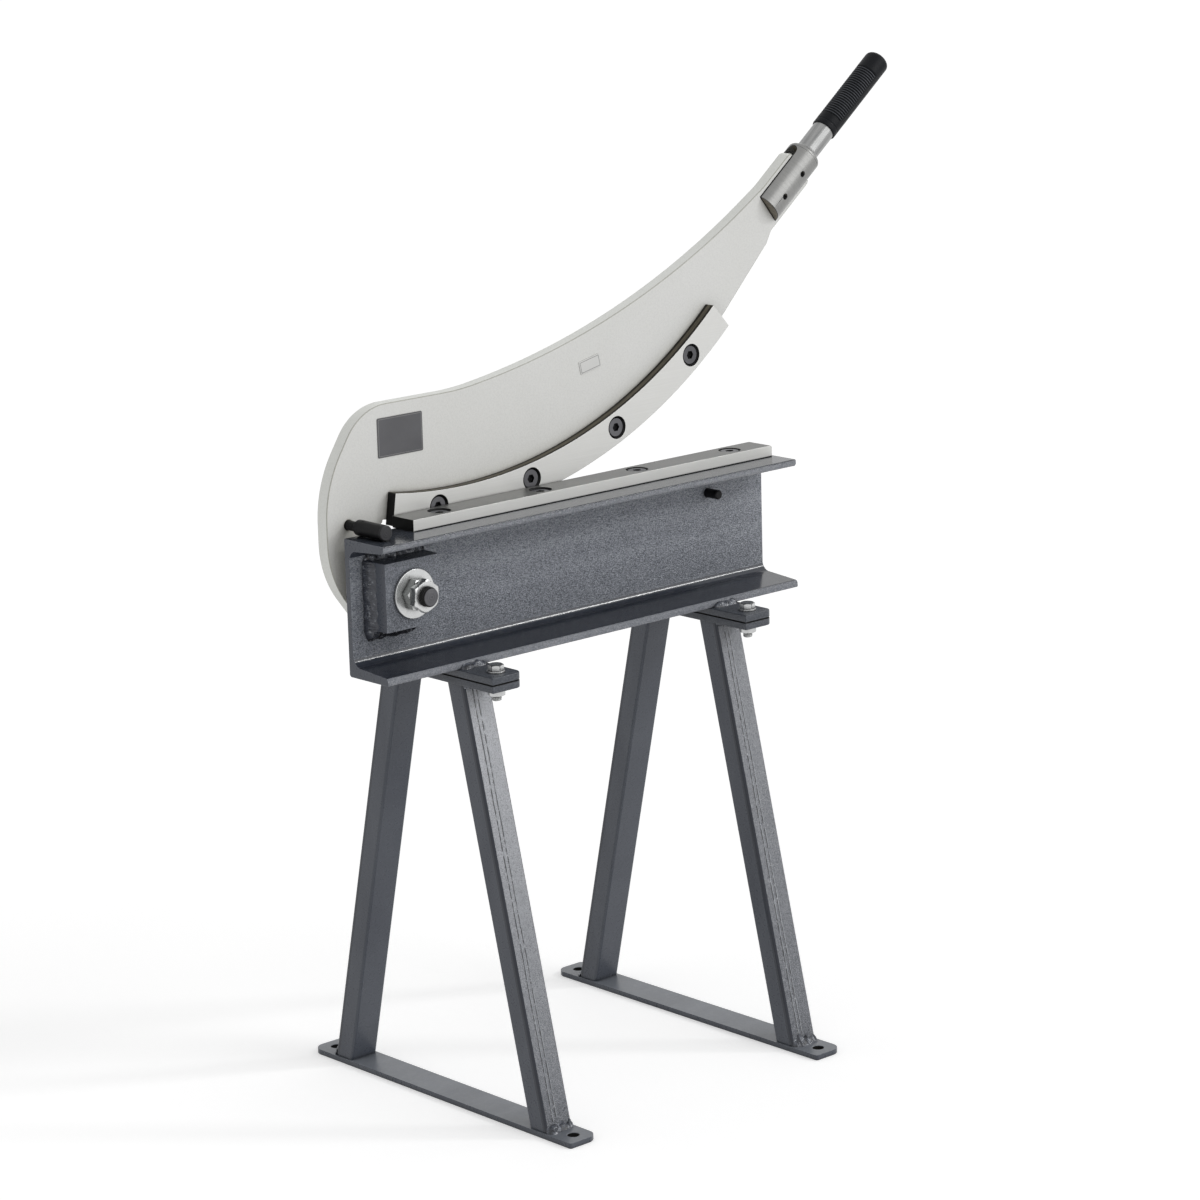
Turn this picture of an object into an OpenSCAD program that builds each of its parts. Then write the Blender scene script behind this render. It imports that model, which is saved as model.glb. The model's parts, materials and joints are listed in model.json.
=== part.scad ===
// Hand-lever plate shear on two trestle stands.
// X runs along the beam to the operator's right, Y away from the operator, Z up.
// The origin is the centre of the four floor bolt holes, on the floor.
// The back face of the beam's web lies in the plane Y = 0.

/* [Beam] */
// Length of the channel beam
beam_len = 570; // [540:1:640]
// Height of the channel section
beam_h = 140; // [130:1:160]
// Width of the channel's flanges
beam_w = 60; // [56:1:70]
// Thickness of the channel's web
web_t = 7; // [6:0.5:9]
// Thickness of a flange at the middle of its width
flange_t = 10; // [9:0.5:12]
// Fillet between web and flange
root_r = 10; // [7:0.5:12]
// Round on the inner edge of a flange's toe
toe_r = 4; // [2:0.5:5]
// Round on the lower back corner of the section
back_r = 3; // [1:0.5:6]

/* [Pivot] */
// Distance of the pivot from the beam's left end
pivot_from_end = 55; // [50:1:70]
// Height of the pivot above the beam's underside
pivot_rise = 81; // [74:0.5:86]
// Diameter of the pivot bolt
pivot_d = 20; // [16:1:22]
// Side of the square pivot block
block_w = 70; // [62:1:76]
// Depth of the pivot block in front of the web
block_t = 30; // [24:1:34]
// Diameter of the large front washer
front_washer_d = 50; // [42:1:56]
// Thickness of the washers on the pivot bolt
pivot_washer_t = 3; // [2:0.5:4]
// Width across flats of the pivot nuts and bolt head
pivot_af = 30; // [27:1:33]
// Thickness of the pivot nut
pivot_nut_t = 10; // [8:0.5:12]
// Thickness of the lock nut
lock_nut_t = 8; // [7:0.5:10]
// Thickness of the pivot bolt's head
pivot_head_t = 12.5; // [10:0.5:14]
// Thread that stands out in front of the lock nut
thread_out = 7; // [4:0.5:10]
// Outer diameter of the spacer between web and arm
spacer_d = 60; // [50:1:70]
// Outer diameter of the arm's bush
bush_d = 28; // [26:1:34]
// Diameter of the washer behind the arm
rear_washer_d = 44; // [38:1:50]

/* [Blades] */
// Length of the lower blade
lower_len = 500; // [480:1:520]
// Width of the lower blade
lower_w = 33; // [30:1:36]
// Thickness of both blades
blade_t = 12; // [10:0.5:14]
// Distance from the beam's left end to the lower blade
lower_from_end = 65; // [62:1:68]
// Overhang of the lower blade behind the web
lower_overhang = 4; // [2:0.5:6]
// Gap between the two blades
blade_gap = 0.15; // [0.1:0.05:0.3]
// Number of screws in each blade
blade_screws = 4; // [3:1:5]
// Spacing of the lower blade's screws
lower_pitch = 135; // [120:1:145]
// Radius of the upper blade's inner edge
upper_r = 541.5; // [530:0.5:555]
// Width of the upper blade
upper_w = 33; // [30:1:36]
// Angle that the upper blade covers on its arc
upper_span_angle = 50.6; // [48:0.1:52]
// Direction of the upper blade's middle, from straight down
upper_mid_angle = 16.7; // [15:0.1:18]
// Angle between the upper blade's screws
upper_screw_angle = 12.87; // [11:0.01:14]
// Thread diameter of the blade screws
blade_screw_d = 12; // [10:0.5:12]
// Head diameter of the blade screws
blade_screw_head_d = 24; // [20:0.5:26]
// Depth of the conical head
blade_screw_head_h = 7; // [5:0.5:8]
// Width across flats of the hexagon socket
blade_screw_key = 8; // [6:0.5:10]

/* [Arm] */
// Thickness of the arm plate
arm_t = 15; // [12:0.5:18]
// Radius of the arm's round lower end
boss_r = 40; // [36:1:44]
// Reach of the arm's back edge to the left of the pivot
heel_reach = 63; // [58:1:68]
// Height of the flat top edge above the pivot
arm_top = 182; // [174:1:190]
// Distance of the arc's centre to the right of the pivot
arc_dx = 97; // [92:1:102]
// Height above the pivot of the lowest point of the blade's arc
arc_low = 53.5; // [50:0.5:58]
// Arm edge held back from the cutting edge
arm_setback = 5; // [4:0.5:8]
// Angle from the open stop down to the closed stop
close_angle = 15.1; // [14.6:0.1:17]

/* [Stops] */
// Diameter of the open stop pin that lies on the flange
stop_d = 16; // [14:0.5:18]
// Length of the open stop pin's thick part
stop_len = 44; // [38:1:50]
// Diameter of the open stop pin's stud
stop_stud_d = 10; // [8:0.5:12]
// Distance of the open stop pin from the beam's left end
stop_from_end = 19; // [16:1:24]
// Diameter of the closed stop pin
down_pin_d = 10; // [8:0.5:12]
// Distance of the closed stop pin to the right of the pivot
down_pin_dx = 434; // [420:1:445]
// Length of the closed stop pin in front of the web
down_pin_out = 18; // [14:1:24]

/* [Handle] */
// Angle of the handle above the beam, with the arm open
handle_angle = 38.4; // [36:0.1:41]
// Distance of the socket's foot to the right of the pivot
socket_dx = 554.5; // [548:0.5:560]
// Height of the socket's foot above the pivot
socket_dz = 317; // [312:0.5:322]
// Outer diameter of the socket
socket_d = 38; // [35:0.5:41]
// Length of the socket
socket_len = 83; // [80:1:90]
// Depth of the slot that takes the arm
slot_len = 77; // [74:1:79]
// Diameter of the cross pins
cross_pin_d = 6; // [5:0.5:8]
// Diameter of the handle rod
rod_d = 25; // [22:0.5:28]
// Rod that shows between socket and grip
rod_show = 37; // [30:1:45]
// Wall of the grip round the rod
grip_wall = 1.5; // [1.2:0.1:3]
// Length of the grip
grip_len = 112; // [105:1:120]
// Number of grooves round the grip
grip_grooves = 24; // [16:1:26]

/* [Stands] */
// Height of a stand, from the floor to the top of its plate
stand_h = 460; // [420:1:520]
// Distance between the two stands, centre to centre
stand_spacing = 350; // [320:1:380]
// Length of a base bar
base_len = 412; // [400:1:440]
// Width of a base bar
base_w = 38; // [36:1:44]
// Thickness of a base bar
base_t = 6; // [5:0.5:8]
// Distance from a base bar's end to its floor bolt hole
floor_inset = 17; // [14:1:21]
// Diameter of the floor bolt holes
floor_hole_d = 12; // [9:0.5:14]
// Width of a leg tube, along the beam
leg_w = 34; // [30:1:36]
// Depth of a leg tube, square to its length
leg_d = 26; // [22:1:30]
// Wall of a leg tube
leg_wall = 2; // [1.5:0.5:3]
// Outer faces of the legs from the middle, at the plate
leg_top_out = 64; // [60:1:72]
// Distance from a base bar's end to the leg's outer face
foot_inset = 37; // [34:1:46]
// Length of the top plates
plate_len = 224; // [216:1:236]
// Width of the top plates
plate_w = 40; // [36:1:44]
// Thickness of the top plates
plate_t = 8; // [6:0.5:10]
// Round on two corners of the plates and bars
plate_r = 9; // [5:0.5:12]
// Distance from a plate's end to its bolt
bolt_inset = 18; // [16:1:20]
// Thread diameter of the stand bolts
bolt_d = 10; // [8:0.5:10]
// Width across flats of the stand bolts and nuts
bolt_af = 16; // [14:0.5:18]

/* [Plates] */
// Length of the rating plate
rating_w = 58; // [50:1:64]
// Height of the rating plate
rating_h = 40; // [34:1:44]
// Length of the small plate
mark_w = 29; // [24:1:34]
// Height of the small plate
mark_h = 14; // [12:0.5:18]

/* [Hidden] */
$fn = 64;

// Overrun of every cut past the face it opens
cut = 1;
// Radial clearance of the bush on the pivot bolt
run_fit = 0.05;
// Gap that lets faces slide or meet at a stop
slide_gap = 0.3;
// Clearance of a bolt in its hole
hole_gap = 1;
// Clearance of the arm in the socket's slot, each side
slot_gap = 0.1;
// Clearance of the bolt in the pivot block and web
pivot_gap = 0.1;
// Largest distance between a rounded corner and its outline
outline_sag = 0.02;
// Largest turn between two points of the blade's and the arm's edge
edge_step = 0.9;

// Inward taper of the channel's flanges
taper_share = 0.08;

// Paint, metal and grip colours
col_blue = [0.39, 0.41, 0.45];
col_cream = [0.80, 0.81, 0.78];
col_steel = [0.80, 0.80, 0.79];
col_zinc = [0.78, 0.79, 0.78];
col_black = [0.13, 0.13, 0.14];
col_bronze = [0.70, 0.55, 0.32];
col_satin = [0.56, 0.57, 0.58];

// Levels of the beam and the stands
plate_bottom = stand_h - plate_t;
beam_z = stand_h + plate_t;
beam_top = beam_z + beam_h;
lower_top = beam_top + blade_t;
beam_left = -beam_len / 2;
pivot_x = beam_left + pivot_from_end;
pivot_z = beam_z + pivot_rise;
stand_x = stand_spacing / 2;
bolt_y = plate_len / 2 - bolt_inset;

// Depths of the layers behind the web
blade_front = lower_overhang + blade_gap;
arm_front = blade_front + blade_t;
arm_back = arm_front + arm_t;
arm_mid = arm_front + arm_t / 2;
block_front = -web_t - block_t;

// Centre of the upper blade's arc, from the pivot
arc_dz = arc_low + upper_r + upper_w;
arc_centre = [arc_dx, arc_dz];

// Middle of the lower blade
lower_mid_x = beam_left + lower_from_end + lower_len / 2;
lower_mid_y = lower_overhang - lower_w / 2;

// Lower blade screws reach through the flange, upper ones stop short of the arm's back
screw_short = 2;
lower_screw_len = blade_t + flange_t + screw_short;
upper_screw_len = blade_t + arm_t - screw_short;

// Height of the open stop pin over the flange
stop_z = beam_top + stop_d / 2 + slide_gap;
stop_x = beam_left + stop_from_end;
stop_back = 1;
stop_chamfer = 1;
stop_cross_d = 3.5;
stop_cross_inset = 9;
stop_shoulder = 2;
stop_tail_d = 13;

// Radius of the arm's lower edge about the arc's centre
arm_edge_r = upper_r + upper_w - arm_setback;
// The closed stop's collar takes the arm before the cutting edge reaches the pin
down_collar_r = arm_setback + down_pin_d / 2 + 2 * slide_gap;
// Arc centre with the arm closed, from the pivot
closed_arc = [
  arc_dx * cos(close_angle) + arc_dz * sin(close_angle),
  arc_dz * cos(close_angle) - arc_dx * sin(close_angle)
];
down_pin_reach = arm_edge_r + down_collar_r + slide_gap;
down_pin_dz = closed_arc[1] - sqrt(pow(down_pin_reach, 2) - pow(down_pin_dx - closed_arc[0], 2));

// Legs
floor_pitch = base_len - 2 * floor_inset;
leg_foot_out = base_len / 2 - foot_inset;
leg_lean = atan((leg_foot_out - leg_top_out) / (plate_bottom - base_t));
leg_depth = leg_d / cos(leg_lean);
leg_wall_depth = leg_wall / cos(leg_lean);
weld_leg = 4;
block_weld = 6;
block_side_weld = 19;
plate_weld = 4;

// Bolt details
washer_d = 2 * bolt_d;
washer_t = 2;
bolt_head_t = 0.64 * bolt_d;
bolt_nut_t = 0.8 * bolt_d;
bolt_out = 5;
chamfer = 1;

// Handle details
slot_rest = 10;
tongue_len = slot_len - slot_rest;
tongue_over = 3;
tongue_r = 9;
tongue_low = socket_d / 2 + tongue_over;
pin_low_share = 0.235;
pin_high_share = 0.65;
spigot_d = 16;
socket_edge = 2;
rod_in_grip_share = 0.9;
grip_d = rod_d + 2 * grip_wall;
groove_w_share = 0.45;
groove_d_share = 0.55;
groove_start_share = 0.13;
groove_end_share = 0.79;
grip_end_r = 6;

// Heel, shoulder and neck of the arm's outline, from the pivot
heel_angle = 127;
heel_r = 100;
shoulder_z = 108;
shoulder_x = -15;
shoulder_r = 126;
crown_r = 60;
rise_x = 113;
rise_angle = 8;
rise_r = 290;
rise_run = 237;
brow_angle = 32;
brow_r = 990;
brow_blend_r = 80;
relief_r = 12.5;
relief_x = 12;
relief_z = 51;
edge_start_angle = -9;
edge_end_angle = 43;
collar_back = 25;
collar_back_low = 5.7;
collar_run = 12;

// Places of the two plates on the arm, from the pivot
plate_skin = 0.6;
rating_x = 34;
rating_z = 148;
rating_r = 1.5;
mark_x = 291;
mark_z = 184;
mark_angle = 12;
mark_r = 1;

function unit(v) = v / norm(v);
function polar(a) = [cos(a), sin(a)];

// Point where a line through p at angle a meets a line through q at angle b
function line_hit(p, a, q, b) =
  let (d = q - p, den = cos(a) * sin(b) - sin(a) * cos(b))
  p + polar(a) * (d[0] * sin(b) - d[1] * cos(b)) / den;

// Point at radius r from the blade's arc centre, at an angle from straight down
function on_arc(r, a) = arc_centre + r * [sin(a), -cos(a)];

// Points of a concentric arc, from angle a0 to a1 in steps of at most edge_step
function blade_arc(r, a0, a1) =
  let (n = ceil(abs(a1 - a0) / edge_step))
  [for (i = [0:n]) on_arc(r, a0 + (a1 - a0) * i / n)];

// Points of a circular arc
function arc(centre, r, a0, a1, n) =
  [for (i = [0:n]) centre + r * polar(a0 + (a1 - a0) * i / n)];

// Corner b between a and c, rounded to radius r
function corner(a, b, c, r) =
  r == 0 ? [b] :
  let (
    u = unit(a - b),
    v = unit(c - b),
    half = acos(u * v) / 2,
    centre = b + unit(u + v) * r / sin(half),
    from = b + u * r / tan(half) - centre,
    to = b + v * r / tan(half) - centre,
    a0 = atan2(from[1], from[0]),
    raw = atan2(to[1], to[0]) - a0,
    turn = raw > 180 ? raw - 360 : raw < -180 ? raw + 360 : raw,
    n = ceil(abs(turn) / (2 * acos(1 - outline_sag / r)))
  )
  arc(centre, r, a0, a0 + turn, n);

// Closed outline with one radius for each corner
function rounded(pts, radii) =
  let (n = len(pts))
  [for (i = [0:n - 1]) each corner(pts[(i + n - 1) % n], pts[i], pts[(i + 1) % n], radii[i])];

// Extrusion of an outline in X and Z, from depth y0 to y1
module slab(y0, y1) {
  translate([0, y1, 0]) rotate([90, 0, 0]) linear_extrude(y1 - y0) children();
}

// Extrusion of an outline in Y and Z, along X and centred on it
module bar(length) {
  translate([-length / 2, 0, 0]) rotate([90, 0, 90]) linear_extrude(length) children();
}

// Round bar along Y
module rod_y(x, z, y0, y1, d) {
  translate([x, y1, z]) rotate([90, 0, 0]) cylinder(h = y1 - y0, d = d);
}

// Hexagonal prism along Z, measured across its flats
module hexagon(af, h) {
  cylinder(h = h, d = af / cos(30), $fn = 6);
}

// Hexagon with its outer corners turned off
module hex_body(af, h) {
  intersection() {
    hexagon(af, h);
    union() {
      cylinder(h = h - chamfer, d = 2 * af);
      translate([0, 0, h - chamfer])
        cylinder(h = chamfer, d1 = af / cos(30), d2 = af / cos(30) - 4 * chamfer);
    }
  }
}

module ring(h, d, bore) {
  difference() {
    cylinder(h = h, d = d);
    translate([0, 0, -cut]) cylinder(h = h + 2 * cut, d = bore);
  }
}

// Countersunk screw along Z, with its head's face at zero and its thread below
module flat_screw(length) {
  difference() {
    union() {
      translate([0, 0, -blade_screw_head_h])
        cylinder(h = blade_screw_head_h - chamfer, d1 = blade_screw_d, d2 = blade_screw_head_d);
      translate([0, 0, -chamfer]) cylinder(h = chamfer - slide_gap, d = blade_screw_head_d);
      translate([0, 0, -length]) cylinder(h = length - chamfer, d = blade_screw_d);
    }
    translate([0, 0, -blade_screw_head_h * 3 / 4]) hexagon(blade_screw_key, blade_screw_head_h);
  }
}

// Hole for that screw, through a blade of thickness t below zero
module flat_screw_hole(t) {
  translate([0, 0, -t - cut]) cylinder(h = t + 2 * cut, d = blade_screw_d);
  translate([0, 0, -blade_screw_head_h])
    cylinder(h = blade_screw_head_h - chamfer, d1 = blade_screw_d, d2 = blade_screw_head_d);
  translate([0, 0, -chamfer]) cylinder(h = chamfer + cut, d = blade_screw_head_d);
}

module at_lower_screws() {
  for (i = [0:blade_screws - 1])
    translate([lower_mid_x + (i - (blade_screws - 1) / 2) * lower_pitch, lower_mid_y, lower_top])
      children();
}

// Frame of the arm, with its origin on the pivot axis
module at_pivot() {
  translate([pivot_x, 0, pivot_z]) children();
}

module at_upper_screws() {
  for (i = [0:blade_screws - 1]) {
    a = upper_mid_angle + (i - (blade_screws - 1) / 2) * upper_screw_angle;
    p = on_arc(upper_r + upper_w / 2, a);
    at_pivot() translate([p[0], blade_front, p[1]]) rotate([90, 0, 0]) children();
  }
}

// Thickness of a flange at depth u from the web's back face
function flange_at(u) = flange_t + (beam_w / 2 - u) * taper_share;

function channel_outline() =
  let (tip = flange_at(beam_w), root = flange_at(web_t))
  rounded(
    [
      [0, 0], [0, beam_h], [-beam_w, beam_h], [-beam_w, beam_h - tip], [-web_t, beam_h - root],
      [-web_t, root], [-beam_w, tip], [-beam_w, 0]
    ],
    [back_r, 0, 0, toe_r, root_r, root_r, toe_r, 0]
  );

module channel_section() {
  translate([0, 0, beam_z]) bar(beam_len) polygon(channel_outline());
}

module base_channel() {
  color(col_blue)
    difference() {
      channel_section();
      rod_y(pivot_x, pivot_z, -web_t - cut, cut, pivot_d + 2 * pivot_gap);
      rod_y(pivot_x + down_pin_dx, pivot_z + down_pin_dz, -web_t - cut, cut, down_pin_d);
      at_lower_screws()
        translate([0, 0, -lower_screw_len - cut])
          cylinder(h = lower_screw_len - blade_t + 2 * cut, d = blade_screw_d);
    }
}

module pivot_block() {
  color(col_blue)
    difference() {
      translate([pivot_x - block_w / 2, block_front, pivot_z - block_w / 2])
        cube([block_w, block_t, block_w]);
      rod_y(pivot_x, pivot_z, block_front - cut, -web_t + cut, pivot_d + 2 * pivot_gap);
    }
}

// Fillet weld of triangular section that reaches along the block from the web
module block_bead(length, reach) {
  translate([0, -web_t, 0]) bar(length) polygon([[0, 0], [-reach, 0], [0, block_weld]]);
}

// Beads above, to the left and below the left half of the block, cut to the beam's fillet
module pivot_block_welds() {
  half = block_w / 2;
  color(col_blue)
    difference() {
      at_pivot() {
        translate([0, 0, half]) block_bead(block_w, block_weld);
        rotate([0, -90, 0]) translate([0, 0, half]) block_bead(block_w, block_side_weld);
        rotate([0, 180, 0]) translate([half / 2, 0, half]) block_bead(half, block_weld);
      }
      channel_section();
    }
}

module lower_blade() {
  color(col_steel)
    difference() {
      translate([lower_mid_x - lower_len / 2, lower_overhang - lower_w, beam_top])
        cube([lower_len, lower_w, blade_t]);
      at_lower_screws() flat_screw_hole(blade_t);
    }
}

module lower_blade_screws() {
  color(col_black) at_lower_screws() flat_screw(lower_screw_len);
}

module pivot_bolt() {
  front = block_front - pivot_washer_t - pivot_nut_t - lock_nut_t - thread_out;
  back = arm_back + slide_gap / 2 + pivot_washer_t;
  color(col_black)
    at_pivot() {
      rod_y(0, 0, front + 2 * chamfer, back, pivot_d);
      translate([0, front + 2 * chamfer, 0]) rotate([90, 0, 0])
        cylinder(h = 2 * chamfer, d1 = pivot_d, d2 = pivot_d - 4 * chamfer);
      translate([0, back, 0]) rotate([-90, 0, 0]) hex_body(pivot_af, pivot_head_t);
    }
}

// Ring along Y in the arm's frame, from depth y0 to y1
module ring_y(y0, y1, d, bore) {
  at_pivot() translate([0, y1, 0]) rotate([90, 0, 0]) ring(y1 - y0, d, bore);
}

module front_washer() {
  color(col_zinc) ring_y(block_front - pivot_washer_t, block_front, front_washer_d, pivot_d);
}

// Hexagon nut along Y with its back face at depth y
module nut_y(y, t, turn) {
  at_pivot() translate([0, y, 0]) rotate([90, turn, 0])
    difference() {
      hex_body(pivot_af, t);
      translate([0, 0, -cut]) cylinder(h = t + 2 * cut, d = pivot_d);
    }
}

module pivot_nut() {
  color(col_zinc) nut_y(block_front - pivot_washer_t, pivot_nut_t, 10);
}

module lock_nut() {
  color(col_zinc) nut_y(block_front - pivot_washer_t - pivot_nut_t, lock_nut_t, 35);
}

module thrust_spacer() {
  color(col_steel) ring_y(0, arm_front - slide_gap / 2, spacer_d, pivot_d);
}

module rear_washer() {
  y = arm_back + slide_gap / 2;
  color(col_zinc) ring_y(y, y + pivot_washer_t, rear_washer_d, pivot_d);
}

// Pin through the web whose rear collar meets the arm's lower edge
module down_stop_pin() {
  color(col_black)
    at_pivot() translate([down_pin_dx, 0, down_pin_dz]) {
      rod_y(0, 0, -web_t - down_pin_out + chamfer, arm_front, down_pin_d);
      translate([0, -web_t - down_pin_out + chamfer, 0]) rotate([90, 0, 0])
        cylinder(h = chamfer, d1 = down_pin_d, d2 = down_pin_d - 2 * chamfer);
      rod_y(0, 0, arm_front, arm_back, 2 * down_collar_r);
    }
}

// Outline of a bar or plate with two opposite corners rounded
function strap_outline(w, l) =
  rounded(
    [[-w / 2, -l / 2], [w / 2, -l / 2], [w / 2, l / 2], [-w / 2, l / 2]],
    [0, plate_r, 0, plate_r]
  );

module top_plate(side, z) {
  color(col_blue)
    translate([side * stand_x, 0, z])
      difference() {
        linear_extrude(plate_t) polygon(strap_outline(plate_w, plate_len));
        for (e = [-1, 1])
          translate([0, e * bolt_y, -cut]) cylinder(h = plate_t + 2 * cut, d = bolt_d + hole_gap);
      }
}

module left_beam_plate() { top_plate(-1, stand_h); }
module right_beam_plate() { top_plate(1, stand_h); }
module left_stand_plate() { top_plate(-1, plate_bottom); }
module right_stand_plate() { top_plate(1, plate_bottom); }

// Beads along the beam's flange edge and behind its web, on top of each plate
module beam_plate_welds() {
  length = plate_w - 2 * plate_weld;
  color(col_blue)
    for (side = [-1, 1])
      translate([side * stand_x, 0, beam_z]) {
        translate([0, -beam_w, 0]) bar(length) polygon([[0, 0], [-plate_weld, 0], [0, plate_weld]]);
        bar(length) polygon([[0, 0], [0, plate_weld + back_r], [plate_weld, 0]]);
      }
}

// Outer face of a leg at height z
function leg_face(z) = leg_foot_out - (z - base_t) * tan(leg_lean);

// Side view of a leg, shrunk by wall in depth and run past its ends by over
function leg_outline(wall, over) =
  let (z0 = base_t - over, z1 = plate_bottom + over)
  [
    [leg_face(z0) - wall, z0], [leg_face(z1) - wall, z1],
    [leg_face(z1) - leg_depth + wall, z1], [leg_face(z0) - leg_depth + wall, z0]
  ];

module leg(side, end) {
  color(col_blue)
    translate([side * stand_x, 0, 0]) mirror([0, end < 0 ? 1 : 0, 0])
      difference() {
        bar(leg_w) polygon(leg_outline(0, 0));
        bar(leg_w - 2 * leg_wall) polygon(leg_outline(leg_wall_depth, cut));
      }
}

module left_front_leg() { leg(-1, -1); }
module left_rear_leg() { leg(-1, 1); }
module right_front_leg() { leg(1, -1); }
module right_rear_leg() { leg(1, 1); }

module base_bar(side) {
  color(col_blue)
    translate([side * stand_x, 0, 0])
      difference() {
        linear_extrude(base_t) polygon(strap_outline(base_w, base_len));
        for (e = [-1, 1])
          translate([0, e * floor_pitch / 2, -cut])
            cylinder(h = base_t + 2 * cut, d = floor_hole_d);
      }
}

module left_base_bar() { base_bar(-1); }
module right_base_bar() { base_bar(1); }

// Beads across the outer faces of the legs, at their feet and under the plate
module stand_welds(side) {
  z1 = plate_bottom;
  drop = weld_leg * tan(leg_lean);
  color(col_blue)
    translate([side * stand_x, 0, 0])
      for (end = [0, 1])
        mirror([0, end, 0]) {
          bar(leg_w) polygon([
            [leg_foot_out, base_t], [leg_foot_out + weld_leg, base_t],
            [leg_foot_out - drop, base_t + weld_leg]
          ]);
          bar(leg_w) polygon([
            [leg_face(z1), z1], [leg_face(z1) + weld_leg, z1],
            [leg_face(z1) + drop, z1 - weld_leg]
          ]);
        }
}

module left_stand_welds() { stand_welds(-1); }
module right_stand_welds() { stand_welds(1); }

module at_stand_bolts(side) {
  for (e = [-1, 1]) translate([side * stand_x, e * bolt_y, 0]) children();
}

module stand_bolts(side) {
  low = plate_bottom - bolt_nut_t - bolt_out;
  seat = beam_z + washer_t;
  color(col_zinc)
    at_stand_bolts(side) {
      translate([0, 0, low]) cylinder(h = seat - low, d = bolt_d);
      translate([0, 0, seat]) rotate([0, 0, 20]) hex_body(bolt_af, bolt_head_t);
    }
}

module left_stand_bolts() { stand_bolts(-1); }
module right_stand_bolts() { stand_bolts(1); }

module stand_washers(side) {
  color(col_zinc)
    at_stand_bolts(side) translate([0, 0, beam_z]) ring(washer_t, washer_d, bolt_d);
}

module left_stand_washers() { stand_washers(-1); }
module right_stand_washers() { stand_washers(1); }

module stand_nuts(side) {
  color(col_zinc)
    at_stand_bolts(side) translate([0, 0, plate_bottom]) mirror([0, 0, 1])
      difference() {
        hex_body(bolt_af, bolt_nut_t);
        translate([0, 0, -cut]) cylinder(h = bolt_nut_t + 2 * cut, d = bolt_d);
      }
}

module left_stand_nuts() { stand_nuts(-1); }
module right_stand_nuts() { stand_nuts(1); }

// Point given along the handle's axis and square to it, from the socket's foot
function on_handle(along, off) =
  [socket_dx, socket_dz] + along * polar(handle_angle) + off * polar(handle_angle + 90);

// Outline of the arm plate, from the pivot
function arm_outline() =
  let (
    low = boss_r * polar(heel_angle + 90),
    heel = line_hit(low, heel_angle, [-heel_reach, 0], 90),
    rise = [rise_x, arm_top],
    mid = rise + rise_run * polar(rise_angle),
    brow = line_hit(mid, brow_angle, on_handle(0, tongue_low), handle_angle),
    body = rounded(
      [
        [0, 0], low, heel, [-heel_reach, shoulder_z], [shoulder_x, arm_top], rise, mid, brow,
        on_handle(tongue_len, tongue_low), on_handle(tongue_len, -tongue_low),
        on_handle(-collar_run, -tongue_low),
        on_handle(-collar_back, -tongue_low - collar_back_low)
      ],
      [0, 0, heel_r, shoulder_r, crown_r, rise_r, brow_r, brow_blend_r, tongue_r, tongue_r, 0, 0]
    )
  )
  concat(body, blade_arc(arm_edge_r, edge_end_angle, edge_start_angle));

// Frame of the handle, with X along its axis from the socket's foot
module at_handle() {
  at_pivot() translate([socket_dx, arm_mid, socket_dz]) rotate([0, -handle_angle, 0]) children();
}

module arm_plate() {
  color(col_cream)
    difference() {
      at_pivot() union() {
        slab(arm_front, arm_back) polygon(arm_outline());
        rod_y(0, 0, arm_front, arm_back, 2 * boss_r);
      }
      at_pivot() rod_y(relief_x, relief_z, arm_front - cut, arm_back + cut, 2 * relief_r);
      at_pivot() rod_y(0, 0, arm_front - cut, arm_back + cut, bush_d);
      rod_y(stop_x, stop_z, arm_front - cut, arm_back + cut, stop_stud_d);
      at_upper_screws()
        translate([0, 0, -upper_screw_len]) cylinder(h = upper_screw_len, d = blade_screw_d);
      at_cross_pins() cylinder(h = 2 * socket_d, d = cross_pin_d, center = true);
    }
}

// Sector of a ring between the two blade radii
function upper_outline() =
  let (
    a0 = upper_mid_angle - upper_span_angle / 2,
    a1 = upper_mid_angle + upper_span_angle / 2
  )
  concat(blade_arc(upper_r + upper_w, a0, a1), blade_arc(upper_r, a1, a0));

module upper_blade() {
  color(col_steel)
    difference() {
      at_pivot() slab(blade_front, arm_front) polygon(upper_outline());
      at_upper_screws() flat_screw_hole(blade_t);
    }
}

module upper_blade_screws() {
  color(col_black) at_upper_screws() flat_screw(upper_screw_len);
}

module pivot_bush() {
  color(col_bronze) ring_y(arm_front, arm_back, bush_d, pivot_d + 2 * run_fit);
}

// Open stop pin with its stud in the arm
module stop_pin() {
  back = stop_back;
  front = back - stop_len;
  color(col_black)
    translate([stop_x, 0, stop_z])
      difference() {
        union() {
          rod_y(0, 0, front + stop_chamfer, back - stop_shoulder, stop_d);
          translate([0, front + stop_chamfer, 0]) rotate([90, 0, 0])
            cylinder(h = stop_chamfer, d1 = stop_d, d2 = stop_d - 2 * stop_chamfer);
          translate([0, back, 0]) rotate([90, 0, 0])
            cylinder(h = stop_shoulder, d1 = stop_tail_d, d2 = stop_d);
          rod_y(0, 0, back, arm_back, stop_stud_d);
        }
        translate([0, back - stop_cross_inset, 0])
          cylinder(h = 2 * stop_d, d = stop_cross_d, center = true);
      }
}

module at_cross_pins() {
  for (s = [pin_low_share, pin_high_share])
    at_handle() translate([s * socket_len, 0, 0]) rotate([90, 0, 0]) children();
}

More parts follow.
